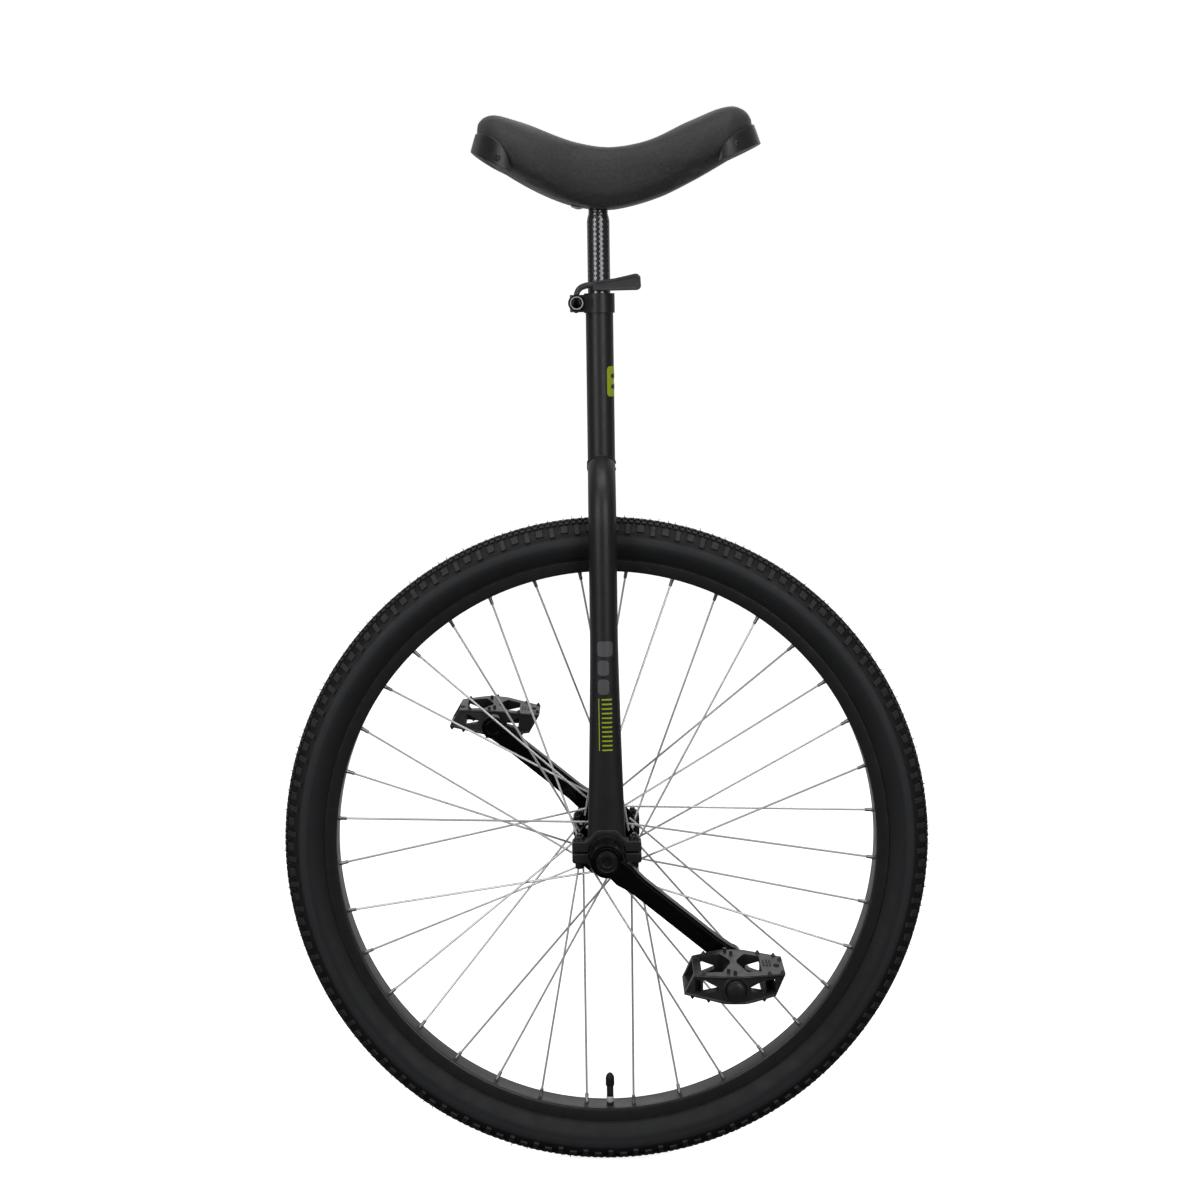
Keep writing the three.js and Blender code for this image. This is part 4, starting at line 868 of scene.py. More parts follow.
def build_valve():
    """A car-type valve: rubber stem with a bright collar, and its ribbed cap."""
    base = AXLE.z - RIM_BED_RADIUS
    stem = [(4.2, base - 2), (4.2, base + 0.6), (3.8, base + 1.2), (3.8, base + 2.4)]
    collar = [(3.9, base + 2.4), (4.15, base + 2.8), (4.15, base + 8.2), (3.9, base + 8.6)]
    neck = [(3.7, base + 8.6), (3.8, base + 9), (3.8, base + 19), (3, base + 20.6), (2.7, base + 22)]
    shapes = [lathe(stem, 32), lathe(neck, 32)]
    piece("valve_stem", shapes, SOFT_RUBBER, "wheel", ["inner_tube"], "tube_rubber")
    piece("valve_collar", [lathe(collar, 32)], BRIGHT_STEEL, "wheel", ["inner_tube"], "bright_steel")
    cap_low = node_box("valve_cap")[0].z
    skirt = [(0, 4.5), (0.5, 5), (8.6, 5), (9.4, 4.9)]
    dome = [(11.4, 4.1), (13.2, 2.9), (14.3, 1.4), (14.5, 0.01)]
    rings = []
    for z, reach in skirt + dome:
        ribs = 0.22 if 0.4 < z < 9 else 0.0
        ring = []
        for i in range(96):
            angle = 2 * math.pi * i / 96
            radius = reach - ribs * (0.5 + 0.5 * math.cos(16 * angle))
            ring.append((radius * math.cos(angle), radius * math.sin(angle), cap_low + z))
        rings.append(ring)
    piece("valve_cap_ribbed", [loft(rings)], SOFT_RUBBER, "wheel", ["valve_cap"], "tube_rubber")


# ---------------------------------------------------------------- Axle and cranks


def crank_outline(inset=0.0):
    """The crank along +X: round boss, tapering shoulder, straight arm and round eye."""
    boss, eye, half_arm = 18 - inset, 13.2 - inset, CRANK_WIDTH / 2 - inset
    shoulder = [(24, half_arm + 3.0), (34, half_arm + 1.1), (46, half_arm)]
    upper = arc(boss, 180, 42, 24) + shoulder
    upper += [(CRANK_LENGTH - 26, half_arm), (CRANK_LENGTH - 17, half_arm + 0.6)]
    upper += arc(eye, 125, 0, 16, (CRANK_LENGTH, 0))[1:]
    return upper + [(x, -y) for x, y in reversed(upper[1:-1])]


def crank_shapes(side):
    """The forging with a raised panel along its outer face, and the spindle's socketed end in its eye."""
    inner = CRANK_ARM_INNER
    recess = lathe([(12.4, CRANK_OUTER - 5), (12.4, CRANK_OUTER + 4)], 48)
    arm = cut(prism(crank_outline(), inner, CRANK_OUTER - 1.4), [recess])
    panel = cut(prism(crank_outline(2.4), CRANK_OUTER - 2.4, CRANK_OUTER), [recess])
    boss = lathe([(17.2, CRANK_INNER), (17.8, CRANK_INNER + 1), (17.8, CRANK_OUTER - 5)], 72)
    end = [(8.6, inner - 0.1), (8.3, inner - 0.5), (7.4, inner - 0.5), (7.0, inner + 0.6)]
    end += [(4.6, inner + 0.4, 6), (4.6, inner + 4, 6)]
    eye = placed(lathe(end, 48, caps=(False, True)), (CRANK_LENGTH, 0, 0))
    return [crank_placed(shape, side) for shape in (arm, panel, boss, eye)]


def crank_placed(shape, side):
    """A shape drawn along +X with its height outwards, put on one end of the axle."""
    pedal = joint_place("right_pedal_spin") if side == RIGHT else joint_place("left_pedal_spin")
    run = (pedal - AXLE).normalized()
    run.y = 0
    run.normalize()
    up = Vector((0, side, 0)).cross(run)
    return mapped(shape, lambda v: AXLE + run * v.x + up * v.y + Vector((0, side * v.z, 0)))


def crank_bolt_shape(side):
    """A wide washer with a groove round the bolt's head, and a hexagon socket."""
    top = CRANK_OUTER
    washer = [(12.2, top - 4.5), (12.2, top - 0.7), (11.7, top + 0.1), (10.9, top + 0.1), (10.3, top - 0.7)]
    head = [(9.8, top - 0.7), (9.4, top - 0.2), (5.8, top - 0.1), (5.0, top - 0.6, 6), (5.0, top - 4.4, 6)]
    return crank_placed(lathe(washer + head, 48), side)


def build_cranks():
    bearing_seat = [(7, -57.8), (9.6, -57.8), (10.2, -57), (10.2, -43.6)]
    shoulder = [(12.6, -43.6), (12.6, -37), (11, -36)]
    axle = turned_on_axle(on_both_sides(bearing_seat + shoulder), 48)
    piece("axle_tube", [axle], BLACK_STEEL, "wheel", ["axle"], "black_steel")
    for name, side in SIDES.items():
        crank, node = crank_shapes(side), f"{name}_crank"
        piece(f"crank_arm_{name}", crank, GLOSS_BLACK, "wheel", [node], "gloss_black", bevel=1.1, segments=3)
        bolt, node = crank_bolt_shape(side), f"{name}_crank_bolt"
        piece(f"crank_bolt_head_{name}", [bolt], BLACK_STEEL, "wheel", [node], "black_steel", bevel=0.2)


# ---------------------------------------------------------------- Pedals

PEDAL_SHORT = 42.5
PEDAL_LONG = 53.0
PEDAL_END_HEIGHT = 10.8
PEDAL_MID_HEIGHT = 14.6
PEDAL_RAIL_INNER = PEDAL_INNER + 11
PEDAL_RAIL_OUTER = PEDAL_OUTER - 17
PEDAL_MIDDLE = (PEDAL_RAIL_INNER + PEDAL_RAIL_OUTER) / 2
PEDAL_INSIDE = (PEDAL_RAIL_OUTER - PEDAL_RAIL_INNER) / 2 - 5
PEDAL_TILT_DEG = {RIGHT: 0.7, LEFT: 4.8}


def turned_on_spindle(profile, count):
    """A profile of (radius, y) turned about the pedal's own spindle."""
    return placed(lathe(profile, count), along=(0, 1, 0))


def pedal_profile():
    """The side outline, a leaning six-sided shape with an eased middle."""
    rise = PEDAL_MID_HEIGHT - PEDAL_END_HEIGHT
    ease = [(-20, 0.72), (-10, 0.95), (0, 1.0), (10, 0.95), (20, 0.72)]
    middle = [(x, PEDAL_END_HEIGHT + rise * share) for x, share in ease]
    top = [(-PEDAL_SHORT, PEDAL_END_HEIGHT), *middle, (PEDAL_LONG, PEDAL_END_HEIGHT)]
    return top + [(-x, -z) for x, z in top]


def pedal_bow(x):
    """How far each rail stands out from the pedal's ends at x, as a share."""
    return max(0.0, min(1.0, (PEDAL_LONG - abs(x)) / (PEDAL_LONG - 12)))


def pedal_plan():
    """The outline from above: both rails bow out beside the spindle."""
    reach = PEDAL_LONG + 1
    outer = [(-reach, PEDAL_RAIL_OUTER), (-12, PEDAL_OUTER), (12, PEDAL_OUTER), (reach, PEDAL_RAIL_OUTER)]
    inner = [(reach, PEDAL_RAIL_INNER), (12, PEDAL_INNER), (-12, PEDAL_INNER), (-reach, PEDAL_RAIL_INNER)]
    return outer + inner


def pedal_rail_window(near, far):
    """The opening through both rails beside the spindle, narrow at its inner end."""
    way = 1 if far > 0 else -1
    tip = arc(2.8, 90, 270, 6, (way * near + 2.8, 0))
    window = tip + [(way * far - 1, -6.2), (way * far, -5.6), (way * far, 6.4), (way * far - 1, 7.2)]
    return side_prism([(way * x, z) for x, z in window], PEDAL_INNER - 5, PEDAL_OUTER + 5)


def pedal_pocket(near, far):
    """The square opening in the outer rail by the end plate."""
    pocket = [(near, -6.6), (far, -6.6), (far, 7), (near, 7)]
    return side_prism(pocket, PEDAL_MIDDLE, PEDAL_OUTER + 5)


def pedal_top_window(end, plate_from, waist):
    """The opening from top to bottom between the hourglass middle and an end plate."""
    low, high = PEDAL_INSIDE + 4, PEDAL_INSIDE + 9
    half = [(13, -low), (waist + 2, -9), (waist, -4), (waist, 4), (waist + 2, 9), (13, high)]
    outline = [(end * x, PEDAL_MIDDLE + y) for x, y in half]
    outline += [(end * plate_from, PEDAL_MIDDLE + high - 5), (end * plate_from, PEDAL_MIDDLE - low + 3)]
    return prism(outline, -20, 20)


def pedal_shell():
    """The platform: a walled frame with windows, drawn with +Y outwards from the crank."""
    block = side_prism(pedal_profile(), PEDAL_INNER, PEDAL_OUTER)
    shell = combined(block, [prism(pedal_plan(), -25, 25)], "INTERSECT")
    low, high = PEDAL_MIDDLE - PEDAL_INSIDE, PEDAL_MIDDLE + PEDAL_INSIDE
    tools = [pedal_top_window(1, 28.5, 3.5), pedal_top_window(-1, 34.5, 3.5)]
    tools += [pedal_rail_window(14, 30), pedal_rail_window(-18.5, -33.6)]
    tools += [pedal_pocket(32, 42), pedal_pocket(-42, -35.2)]
    for near, far in ((31.5, 46), (-34.8, -60)):
        tools.append(side_prism([(near, -7.4), (far, -7.4), (far, 7.6), (near, 7.6)], low, high))
    tools.append(prism([(-43, low + 1), (-43, high - 1), (-47, high - 1), (-47, low + 1)], -5, 20))
    tools.append(turned_on_spindle([(6.6, PEDAL_INNER - 3), (6.6, PEDAL_OUTER + 3)], 32))
    tools.append(turned_on_spindle([(10.6, PEDAL_OUTER - 5), (10.6, PEDAL_OUTER + 3)], 48))
    return cut(shell, tools)


def pedal_level(x, top):
    """The height of the platform's top face at x, or the depth of its bottom face."""
    top_line = sorted(point for point in pedal_profile() if point[1] > 0)
    return height_at(top_line, x if top else -x)


def pedal_pin(x, y, top=True, height=3.3, foot=2.5, flat=0.5):
    """A cone standing on the platform's top or bottom face."""
    way = 1 if top else -1
    cone = lathe([(foot, -1.5), (foot, 0), (foot * 0.7, height * 0.5), (flat, height)], 20)
    return placed(cone, (x, y, way * pedal_level(x, top)), (0, 0, way))


def pedal_pins():
    """Cones along both rails, and thick studs on the bridge over the spindle."""
    pins = []
    stand = 2.0
    for x, top in ((-30, True), (28, True), (44.5, True), (-50, False), (-36, False), (33, False)):
        pins.append(pedal_pin(x, pedal_edge(x, PEDAL_RAIL_INNER, PEDAL_INNER) + stand, top))
        pins.append(pedal_pin(-x, pedal_edge(x, PEDAL_RAIL_OUTER, PEDAL_OUTER) - stand, not top))
    low, high = PEDAL_INNER + 5, PEDAL_OUTER - 7
    for x, y in ((-7, low), (-1, low + 8), (-7, high - 6), (-0.5, high)):
        pins += [pedal_pin(x, y if top else y - 5, top, 3.6, 2.2, 2.0) for top in (True, False)]
    pins.append(pedal_pin(50, PEDAL_MIDDLE - 14))
    return pins


def pedal_edge(x, rail_end, mid):
    """Where a rail's outer face stands at x."""
    return rail_end + (mid - rail_end) * pedal_bow(x)


def pedal_details():
    """A lip along each rail's top and bottom edge."""
    shapes = []
    for out, rail_end, mid in ((1, PEDAL_RAIL_OUTER, PEDAL_OUTER), (-1, PEDAL_RAIL_INNER, PEDAL_INNER)):
        for way, start, end in ((1, -PEDAL_SHORT, PEDAL_LONG), (-1, -PEDAL_LONG, PEDAL_SHORT)):
            path = []
            for i in range(25):
                x = start + 1 + (end - start - 2) * i / 24
                level = pedal_level(x, way > 0)
                path.append((x, pedal_edge(x, rail_end, mid) - out * 0.4, way * (level - 1.3)))
            shapes.append(tube(path, 1.6, 10))
    return shapes


def pedal_marks():
    """Plain raised bars and a ring on the front plate, and a ring on the rear one."""
    shapes = []
    for x in (32, 35.4, 38.8):
        outline = [(x + across, PEDAL_MIDDLE - 2 + y) for across, y in rounded_rectangle(1.9, 17, 0.8)]
        shapes.append(prism(outline, pedal_level(x, True) - 1, pedal_level(x, True) + 0.8))
    rim = lathe([(1.5, -1), (1.7, 1.0), (3.2, 1.0), (3.6, -1)], 24)
    for x, y in ((45, 3), (-39, -12)):
        shapes.append(placed(rim, (x, PEDAL_MIDDLE + y, pedal_level(x, True))))
    return shapes


def pedal_cap_shape():
    """The domed plug in the platform's outer end."""
    inner, outer = PEDAL_OUTER - 4.4, PEDAL_OUTER + 4
    side_wall = [(9.9, inner), (10.2, inner + 0.6), (10.2, outer - 1.4), (9.6, outer - 0.4)]
    dome = [(9.0, outer - 0.4), (8.7, outer - 1.1), (8.3, outer - 0.8), (4, outer - 0.2), (0, outer)]
    return turned_on_spindle(side_wall + dome, 56)


def pedal_collar_shape():
    """The bearing collar between the crank's eye and the platform."""
    middle = (CRANK_OUTER + PEDAL_INNER) / 2
    profile = [(6, CRANK_OUTER - 1), (8.6, CRANK_OUTER + 0.2), (8.6, middle), (7, middle + 1)]
    return turned_on_spindle(profile + [(7, PEDAL_INNER + 1), (5, PEDAL_INNER + 2)], 40)


def pedal_barrel():
    """The bearing tube through the platform, with a round boss in each rail."""
    inner, outer = PEDAL_INNER, PEDAL_OUTER
    inner_boss = [(7, inner + 1), (12.6, inner + 1), (13.2, inner + 2), (13.2, inner + 7), (10.4, inner + 9)]
    outer_boss = [(10.4, outer - 9), (14, outer - 7), (14.2, outer + 0.4), (13.4, outer + 1.1)]
    socket = [(11.4, outer + 1.1), (10.6, outer), (10.6, outer - 4), (7, outer - 4)]
    return turned_on_spindle(inner_boss + outer_boss + socket, 56)


def build_pedals():
    """Both pedals from one drawing, mirrored and tilted to hang at their own angles."""
    parts = (
        ("shell", [pedal_shell()], PEDAL_PLASTIC, {"bevel": 0.7}),
        ("barrel", [pedal_barrel()], PEDAL_PLASTIC, {}),
        ("pins", pedal_pins(), PEDAL_PLASTIC, {"sharp_deg": 50}),
        ("details", pedal_details(), PEDAL_PLASTIC, {"bevel": 0.2}),
        ("marks", pedal_marks(), SOFT_RUBBER, {"bevel": 0.2}),
    )
    for name, side in SIDES.items():
        centre = joint_place(f"{name}_pedal_spin")
        centre.y = 0
        tilt = Matrix.Rotation(math.radians(PEDAL_TILT_DEG[side]), 3, "Y")

        def put(shape):
            return mapped(shape, lambda v: tilt @ Vector((v.x, side * v.y, v.z)) + centre)

        body, nodes = f"{name}_pedal", [f"{name}_pedal_body"]
        for part, shapes, material, edges in parts:
            shapes = [put(shape) for shape in shapes]
            piece(f"pedal_{part}_{name}", shapes, material, body, nodes, "pedal_plastic", **edges)
        nodes, shapes = [f"{name}_pedal_end_cap"], [put(pedal_cap_shape())]
        piece(f"pedal_cap_{name}", shapes, PEDAL_PLASTIC, body, nodes, "pedal_plastic")
        nodes, shapes = [f"{name}_pedal_spindle"], [put(pedal_collar_shape())]
        piece(f"pedal_collar_{name}", shapes, BLACK_STEEL, "wheel", nodes, "black_steel")


# ---------------------------------------------------------------- Seat clamp


def collar_shapes():
    """The split collar and its pair of ears behind the neck."""
    low, high, step = COLLAR_LOW, COLLAR_HIGH, 0.5
    bore, post_bore, ledge = TUBE_RADIUS + 0.2, POST_RADIUS + 0.7, NECK_TOP + 0.4
    outside = [(bore, low), (COLLAR_RADIUS - step, low), (COLLAR_RADIUS, low + step)]
    top = [(COLLAR_RADIUS, high - step), (COLLAR_RADIUS - step, high), (post_bore, high)]
    ring = lathe(outside + top + [(post_bore, ledge), (bore, ledge)], 72, closed=True)
    ear_outline = on_both_sides([(-6.5, -15), (-26, -15), (-32, -12), (-33, -8)])
    ears = prism(ear_outline, low + 1.2, high - 1.6)
    ears = cut(ears, [lathe([(bore, low - 5), (bore, high + 5)], 72)])
    slit = prism([(-40, -1.2), (-9, -1.2), (-9, 1.2), (-40, 1.2)], low - 2, high + 2)
    return [cut(ring, [slit]), cut(ears, [slit])]


def across_clamp(profile, count, outwards, closed=False):
    """A profile of (radius, distance from the middle) turned about the skewer."""
    return placed(lathe(profile, count, closed), (CLAMP.x, 0, CLAMP.z), (0, outwards, 0))


def cup_shape():
    """The cam's round cup: a rolled rim, a groove and a domed middle."""
    face = 27.0
    middle = [(0, face - 0.6), (3.5, face - 0.7), (5.4, face - 1.3), (5.9, face - 2.2), (7.9, face - 2.2)]
    rim = [(8.2, face - 0.5), (8.7, face), (9.3, face - 0.4), (9.5, face - 1.4)]
    return across_clamp(middle + rim + [(9.5, 16.4), (8.8, 15.4), (5, 15.4)], 56, RIGHT)


def lever_shapes():
    """A round bent arm, and a flat handle with raised edges and a clipped end."""
    bend = [(0, 6), (0.3, 10.5), (3.5, 16), (10, 19.1), (-4 - CLAMP.x, 20.7)]
    path = smooth_curve([(CLAMP.x + x, CLAMP.y, CLAMP.z + z) for x, z in bend], 8)
    radii = [3.0 + 0.7 * i / (len(path) - 1) for i in range(len(path))]
    near_end = [(-7, 14.2), (12, 13.2), (42.5, 13.5), (45.6, 15.2), (46.8, 17.6)]
    far_end = [(46.2, 28.6), (43, 31.8), (40, 32), (18, 27.2), (-7, 23.8)]
    panel = [(-3.5, 16.6), (12, 15.9), (40.5, 16.2), (43.4, 18.2), (42.9, 26.8), (40, 28.6), (18, 24.2)]
    outline = [(x, CLAMP.z + z) for x, z in near_end + far_end]
    inner = [(x, CLAMP.z + z) for x, z in [*panel, (-3.5, 21.2)]]
    recesses = [side_prism(inner, CLAMP.y - 6, CLAMP.y - 3.0), side_prism(inner, CLAMP.y + 3.0, CLAMP.y + 6)]
    blade = cut(side_prism(outline, CLAMP.y - 4.0, CLAMP.y + 4.0), recesses)
    return tube(path, radii, 20), blade


def build_clamp():
    piece("collar", collar_shapes(), FRAME_PAINT, "frame", ["clamp_collar"], "frame_paint", bevel=0.7)
    piece("cam_cup", [cup_shape()], GLOSS_BLACK, "frame", ["clamp_cam_cup"], "gloss_black", sharp_deg=50)
    ring = across_clamp([(6.1, 25.0), (6.4, 25.5), (7.3, 25.5), (7.6, 25.0)], 48, RIGHT, closed=True)
    piece("cam_cup_ring", [ring], BRIGHT_STEEL, "frame", ["clamp_skewer"], "bright_steel")
    nub = lathe([(0, 2.4), (1.6, 2.1), (2.6, 1.2), (2.9, 0), (2.9, -3)], 24)
    nub = placed(nub, (CLAMP.x - 0.5, CLAMP.y, CLAMP.z - 9), (0, 0, -1))
    piece("cam_pin_end", [nub], BLACK_STEEL, "lever", ["clamp_lever"], "black_steel")
    arm, blade = lever_shapes()
    piece("lever_arm", [arm], LEVER_BLACK, "lever", ["clamp_lever"], "black_steel")
    piece("lever_blade", [blade], LEVER_BLACK, "lever", ["clamp_lever"], "black_steel", bevel=0.9, segments=3)
    nut = [(2.8, 15.4), (7.2, 15.4), (7.6, 15.9, 6), (7.6, 21.4, 6), (6.8, 22.8), (3.6, 23), (3.2, 22.4)]
    nut = across_clamp(nut, 48, LEFT)
    piece("skewer_nut", [nut], GLOSS_BLACK, "frame", ["clamp_nut"], "gloss_black", bevel=0.2)
    bolt_end = across_clamp([(2.5, 14), (2.5, 24.4), (2.0, 25)], 24, LEFT)
    piece("skewer_end", [bolt_end], BRIGHT_STEEL, "frame", ["clamp_skewer"], "bright_steel")


# ---------------------------------------------------------------- Saddle

SADDLE_REAR, SADDLE_FRONT = -133, 173.3
REAR_HUMP = [(-133, 1161), (-133, 1171), (-126.5, 1179.4), (-111, 1182.5), (-80, 1169.4), (-50, 1156.2)]
SEAT_DIP = [(-24, 1147), (9, 1141.3), (41, 1144.4), (69, 1152.8)]
FRONT_HUMP = [(106, 1171.6), (132, 1184.8), (150, 1189.3), (163.5, 1185.4), (171.5, 1176), (173.3, 1166)]
SADDLE_TOP = smooth_curve(REAR_HUMP + SEAT_DIP + FRONT_HUMP, 8)

REAR_UNDERSIDE = [(-133, 1140), (-120, 1129.5), (-97, 1114), (-74, 1099.5), (-50, 1087.5), (-25, 1078.8)]
FRONT_UNDERSIDE = [(8, 1074.5), (30, 1077.6), (67, 1089), (104, 1106.5), (133, 1122.5), (173.3, 1146)]
SADDLE_BOTTOM = smooth_curve(REAR_UNDERSIDE + FRONT_UNDERSIDE, 8)

REAR_PLAN = [(-133, 0), (-132.8, 14), (-130, 32), (-122, 50), (-108, 65), (-88, 72), (-60, 68), (-30, 56)]
FRONT_PLAN = [(0, 46), (30, 41), (60, 42), (90, 47), (118, 53), (140, 53), (156, 44), (167.5, 29)]
SADDLE_PLAN = smooth_curve(REAR_PLAN + FRONT_PLAN + [(172.2, 13), (173.3, 0)], 8)

REAR_GUARD_PATH = [(-145, 1161), (-133, 1159), (-116, 1153.0), (-105, 1144.5), (-97.5, 1132)]
REAR_GUARD_TOP = smooth_curve(REAR_GUARD_PATH + [(-94.3, 1118), (-93.8, 1112)], 8)
FRONT_GUARD_PATH = [(132.4, 1117), (133.6, 1129), (138, 1140), (147, 1150), (159, 1158)]
FRONT_GUARD_TOP = smooth_curve(FRONT_GUARD_PATH + [(171, 1165.5), (186, 1171)], 8)


def half_width_at(x):
    return height_at(SADDLE_PLAN, x)


def saddle_stations():
    """Places along the saddle, closer together towards its rounded ends."""
    middle, reach = (SADDLE_REAR + SADDLE_FRONT) / 2, (SADDLE_FRONT - SADDLE_REAR) / 2
    return [middle - reach * math.cos(math.pi * i / 70) for i in range(1, 70)]


def saddle_ring(x, shrink=0.0):
    """The cushion's section at x: rounded shoulders, near-upright sides and a tucked-in lower edge."""
    half = max(half_width_at(x) - shrink, 0.5)
    top = height_at(SADDLE_TOP, x) - shrink
    bottom = height_at(SADDLE_BOTTOM, x) + shrink * 0.5
    crown = min(9.0, 0.16 * half)
    middle = bottom + 0.36 * (top - bottom)
    ring = []
    for k in range(64):
        turn = 2 * math.pi * k / 64
        c, s = math.cos(turn), math.sin(turn)
        if s >= 0:
            y = half * math.copysign(abs(c) ** (2 / 2.7), c)
            z = middle + (top - middle) * s ** (2 / 2.5)
            z -= crown * (abs(y) / half) ** 3 * 0.35
        else:
            tuck = 1 - 0.10 * abs(s)
            y = half * tuck * math.copysign(abs(c) ** (2 / 4.5), c)
            z = middle - (middle - bottom) * abs(s) ** (2 / 5)
        ring.append((x, y, z))
    return ring


def cushion_shape(shrink=0.0):
    return loft([saddle_ring(x, shrink) for x in saddle_stations()])


def base_ring(x, drop):
    """A line across the base at x, from its right edge to its left one."""
    half = max(0.74 * half_width_at(x) - 1, 0.4)
    bottom = height_at(SADDLE_BOTTOM, x) + 3.2
    shares = [i / 8 for i in range(-8, 9)]
    return [(x, share * half, bottom + drop + 2.6 * abs(share) ** 4) for share in shares]


def base_shape():
    """The moulded base: a shallow tray that follows the saddle's lower edge."""
    stations = [x for x in saddle_stations() if -127 < x < 166]
    lower = [base_ring(x, -0.6) for x in stations]
    upper = [list(reversed(base_ring(x, 4.0))) for x in stations]
    return loft([a + b for a, b in zip(lower, upper)])


def bumper_shape(is_rear):
    """A curved guard round one end: it follows the plan outline and leans outwards below."""
    top_line = REAR_GUARD_TOP if is_rear else FRONT_GUARD_TOP
    tip, inner_limit = (-132.9, -94.0) if is_rear else (173.2, 132.8)
    skin, outside = 0.5, 3.5
    corners = [(0, skin), (0, outside), (0.5, outside), (1, outside - 0.3), (1, skin)]
    steps = 30
    xs = [tip + (inner_limit - tip) * (1 - math.cos(math.pi / 2 * i / steps)) for i in range(steps + 1)]
    path = [(x, -half_width_at(x)) for x in reversed(xs)] + [(x, half_width_at(x)) for x in xs[1:]]
    rings = []
    for i, (x, y) in enumerate(path):
        before, after = path[max(i - 1, 0)], path[min(i + 1, len(path) - 1)]
        tangent = Vector((after[0] - before[0], after[1] - before[1])).normalized()
        outward = Vector((tangent.y, -tangent.x))
        if outward.x * (-1 if is_rear else 1) < 0 and abs(outward.x) > 0.3:
            outward = -outward
        if abs(outward.x) <= 0.3 and outward.y * y < 0:
            outward = -outward
        endness = 1 - abs(x - tip) / abs(inner_limit - tip)
        low = height_at(SADDLE_BOTTOM, x) - 0.8 + 1.8 * (1 - endness) ** 2
        high = max(height_at(top_line, x), low + 0.6)
        lean = (5.5 if is_rear else 7.0) * endness**0.7
        section = []
        for share, offset in corners:
            z = low + (high - low) * share
            reach = offset + lean * (1 - share) * (0.35 if offset == skin else 1.0)
            section.append((x + outward.x * reach, y + outward.y * reach, z))
        rings.append(section)
    return loft(rings)


def bumper_screw(is_rear, side):
    """A domed screw head on the guard's outer face."""
    x, z = (-106.6, 1129) if is_rear else (151, 1141)
    here, ahead = half_width_at(x), half_width_at(x + 1)
    normal = Vector((-(ahead - here), 1)).normalized()
    at = (x + normal.x * 4.6, side * (here + normal.y * 4.6), z)
    dome = lathe([(4.4, -0.4), (4.3, 0.5), (3.4, 1.3), (2.2, 1.6), (2.0, 1.0), (0, 0.9)], 28)
    return placed(dome, at, (normal.x, side * normal.y, 0.1))


def inflated(shape, name, cap_mm):
    """A padded cover: the shape remeshed, blown up a little as cloth, and kept within a cap."""
    obj = added(name, mesh_of([shape], name))
    remesh = obj.modifiers.new("remesh", "REMESH")
    remesh.mode = "VOXEL"
    remesh.voxel_size = 4.5 * MM
    bpy.context.view_layer.update()
    evaluated = obj.evaluated_get(bpy.context.evaluated_depsgraph_get())
    even = bpy.data.meshes.new_from_object(evaluated)
    obj.modifiers.clear()
    obj.data = even
    rest = [v.co.copy() for v in even.vertices]
    cloth = obj.modifiers.new("cloth", "CLOTH")
    cloth.settings.use_pressure = True
    cloth.settings.uniform_pressure_force = 4.0
    cloth.settings.effector_weights.gravity = 0.0
    cloth.settings.quality = 5
    scene = bpy.context.scene
    for step in range(1, 21):
        scene.frame_set(step)
    evaluated = obj.evaluated_get(bpy.context.evaluated_depsgraph_get())
    moved = [v.co.copy() for v in evaluated.data.vertices]
    scene.frame_set(1)
    obj.modifiers.clear()
    for vertex, start, end in zip(even.vertices, rest, moved):
        step = end - start
        if step.length > cap_mm * MM:
            step = step.normalized() * cap_mm * MM
        vertex.co = start + step
    result = shape_of(even)
    bpy.data.objects.remove(obj)
    return result


def build_saddle():
    shape = inflated(cushion_shape(0.5), "cushion", 3.0)
    edges = {"subdivide": 1, "sharp_deg": 80}
    piece("cushion_cover", [shape], VINYL, "saddle", ["saddle_cushion"], "saddle_vinyl", **edges)
    piece("base_tray", [base_shape()], BUMPER_PLASTIC, "saddle", ["saddle_base"], "bumper_plastic", bevel=0.6)
    for end, is_rear in (("rear", True), ("front", False)):
        shape, node, edges = bumper_shape(is_rear), f"{end}_bumper", {"bevel": 0.7, "segments": 3}
        piece(f"{end}_guard", [shape], BUMPER_PLASTIC, "saddle", [node], "bumper_plastic", **edges)
        for name, side in SIDES.items():
            screw, node = bumper_screw(is_rear, side), f"{end}_bumper_screw_{name}"
            piece(f"{end}_guard_screw_{name}", [screw], BUMPER_PLASTIC, "saddle", [node], "black_steel")
    build_post()


def build_post():
    """The post narrows just below its plate, which is bolted up to the base by four nuts."""
    low = node_box("seat_post")[0].z
    wall = 2
    plate_low = PLATE_TOP - 3
    foot = [(POST_RADIUS - wall, low), (POST_RADIUS - 0.4, low), (POST_RADIUS, low + 0.4)]
    waist = [(POST_RADIUS, plate_low - 16), (POST_RADIUS - 0.7, plate_low - 12)]
    throat = [(POST_RADIUS - 1.8, plate_low - 8), (POST_RADIUS - 2.0, plate_low + 1)]
    piece("post_tube", [lathe(foot + waist + throat)], KNURLED, "saddle", ["seat_post"], "gloss_black")
    plate = prism(rounded_rectangle(60, 42, 5), plate_low, PLATE_TOP)
    piece("post_plate", [plate], BLACK_STEEL, "saddle", ["seat_post"], "black_steel", bevel=0.5)
    for i in range(4):
        low_corner, high_corner = node_box(f"saddle_nut_{i + 1}")
        centre = (low_corner + high_corner) / 2
        low, high = high_corner.z - 1.1, high_corner.z
        nut = lathe([(4.0, low), (4.5, low + 0.4, 6), (4.5, high, 6)], 36)
        stud = lathe([(2.4, low - 0.5), (2.8, low - 0.1), (2.8, high)], 24)
        shapes = [placed(shape, (centre.x, centre.y, 0)) for shape in (nut, stud)]
        piece(f"post_nut_{i + 1}", shapes, NICKEL, "saddle", [f"saddle_nut_{i + 1}"], "bright_steel")


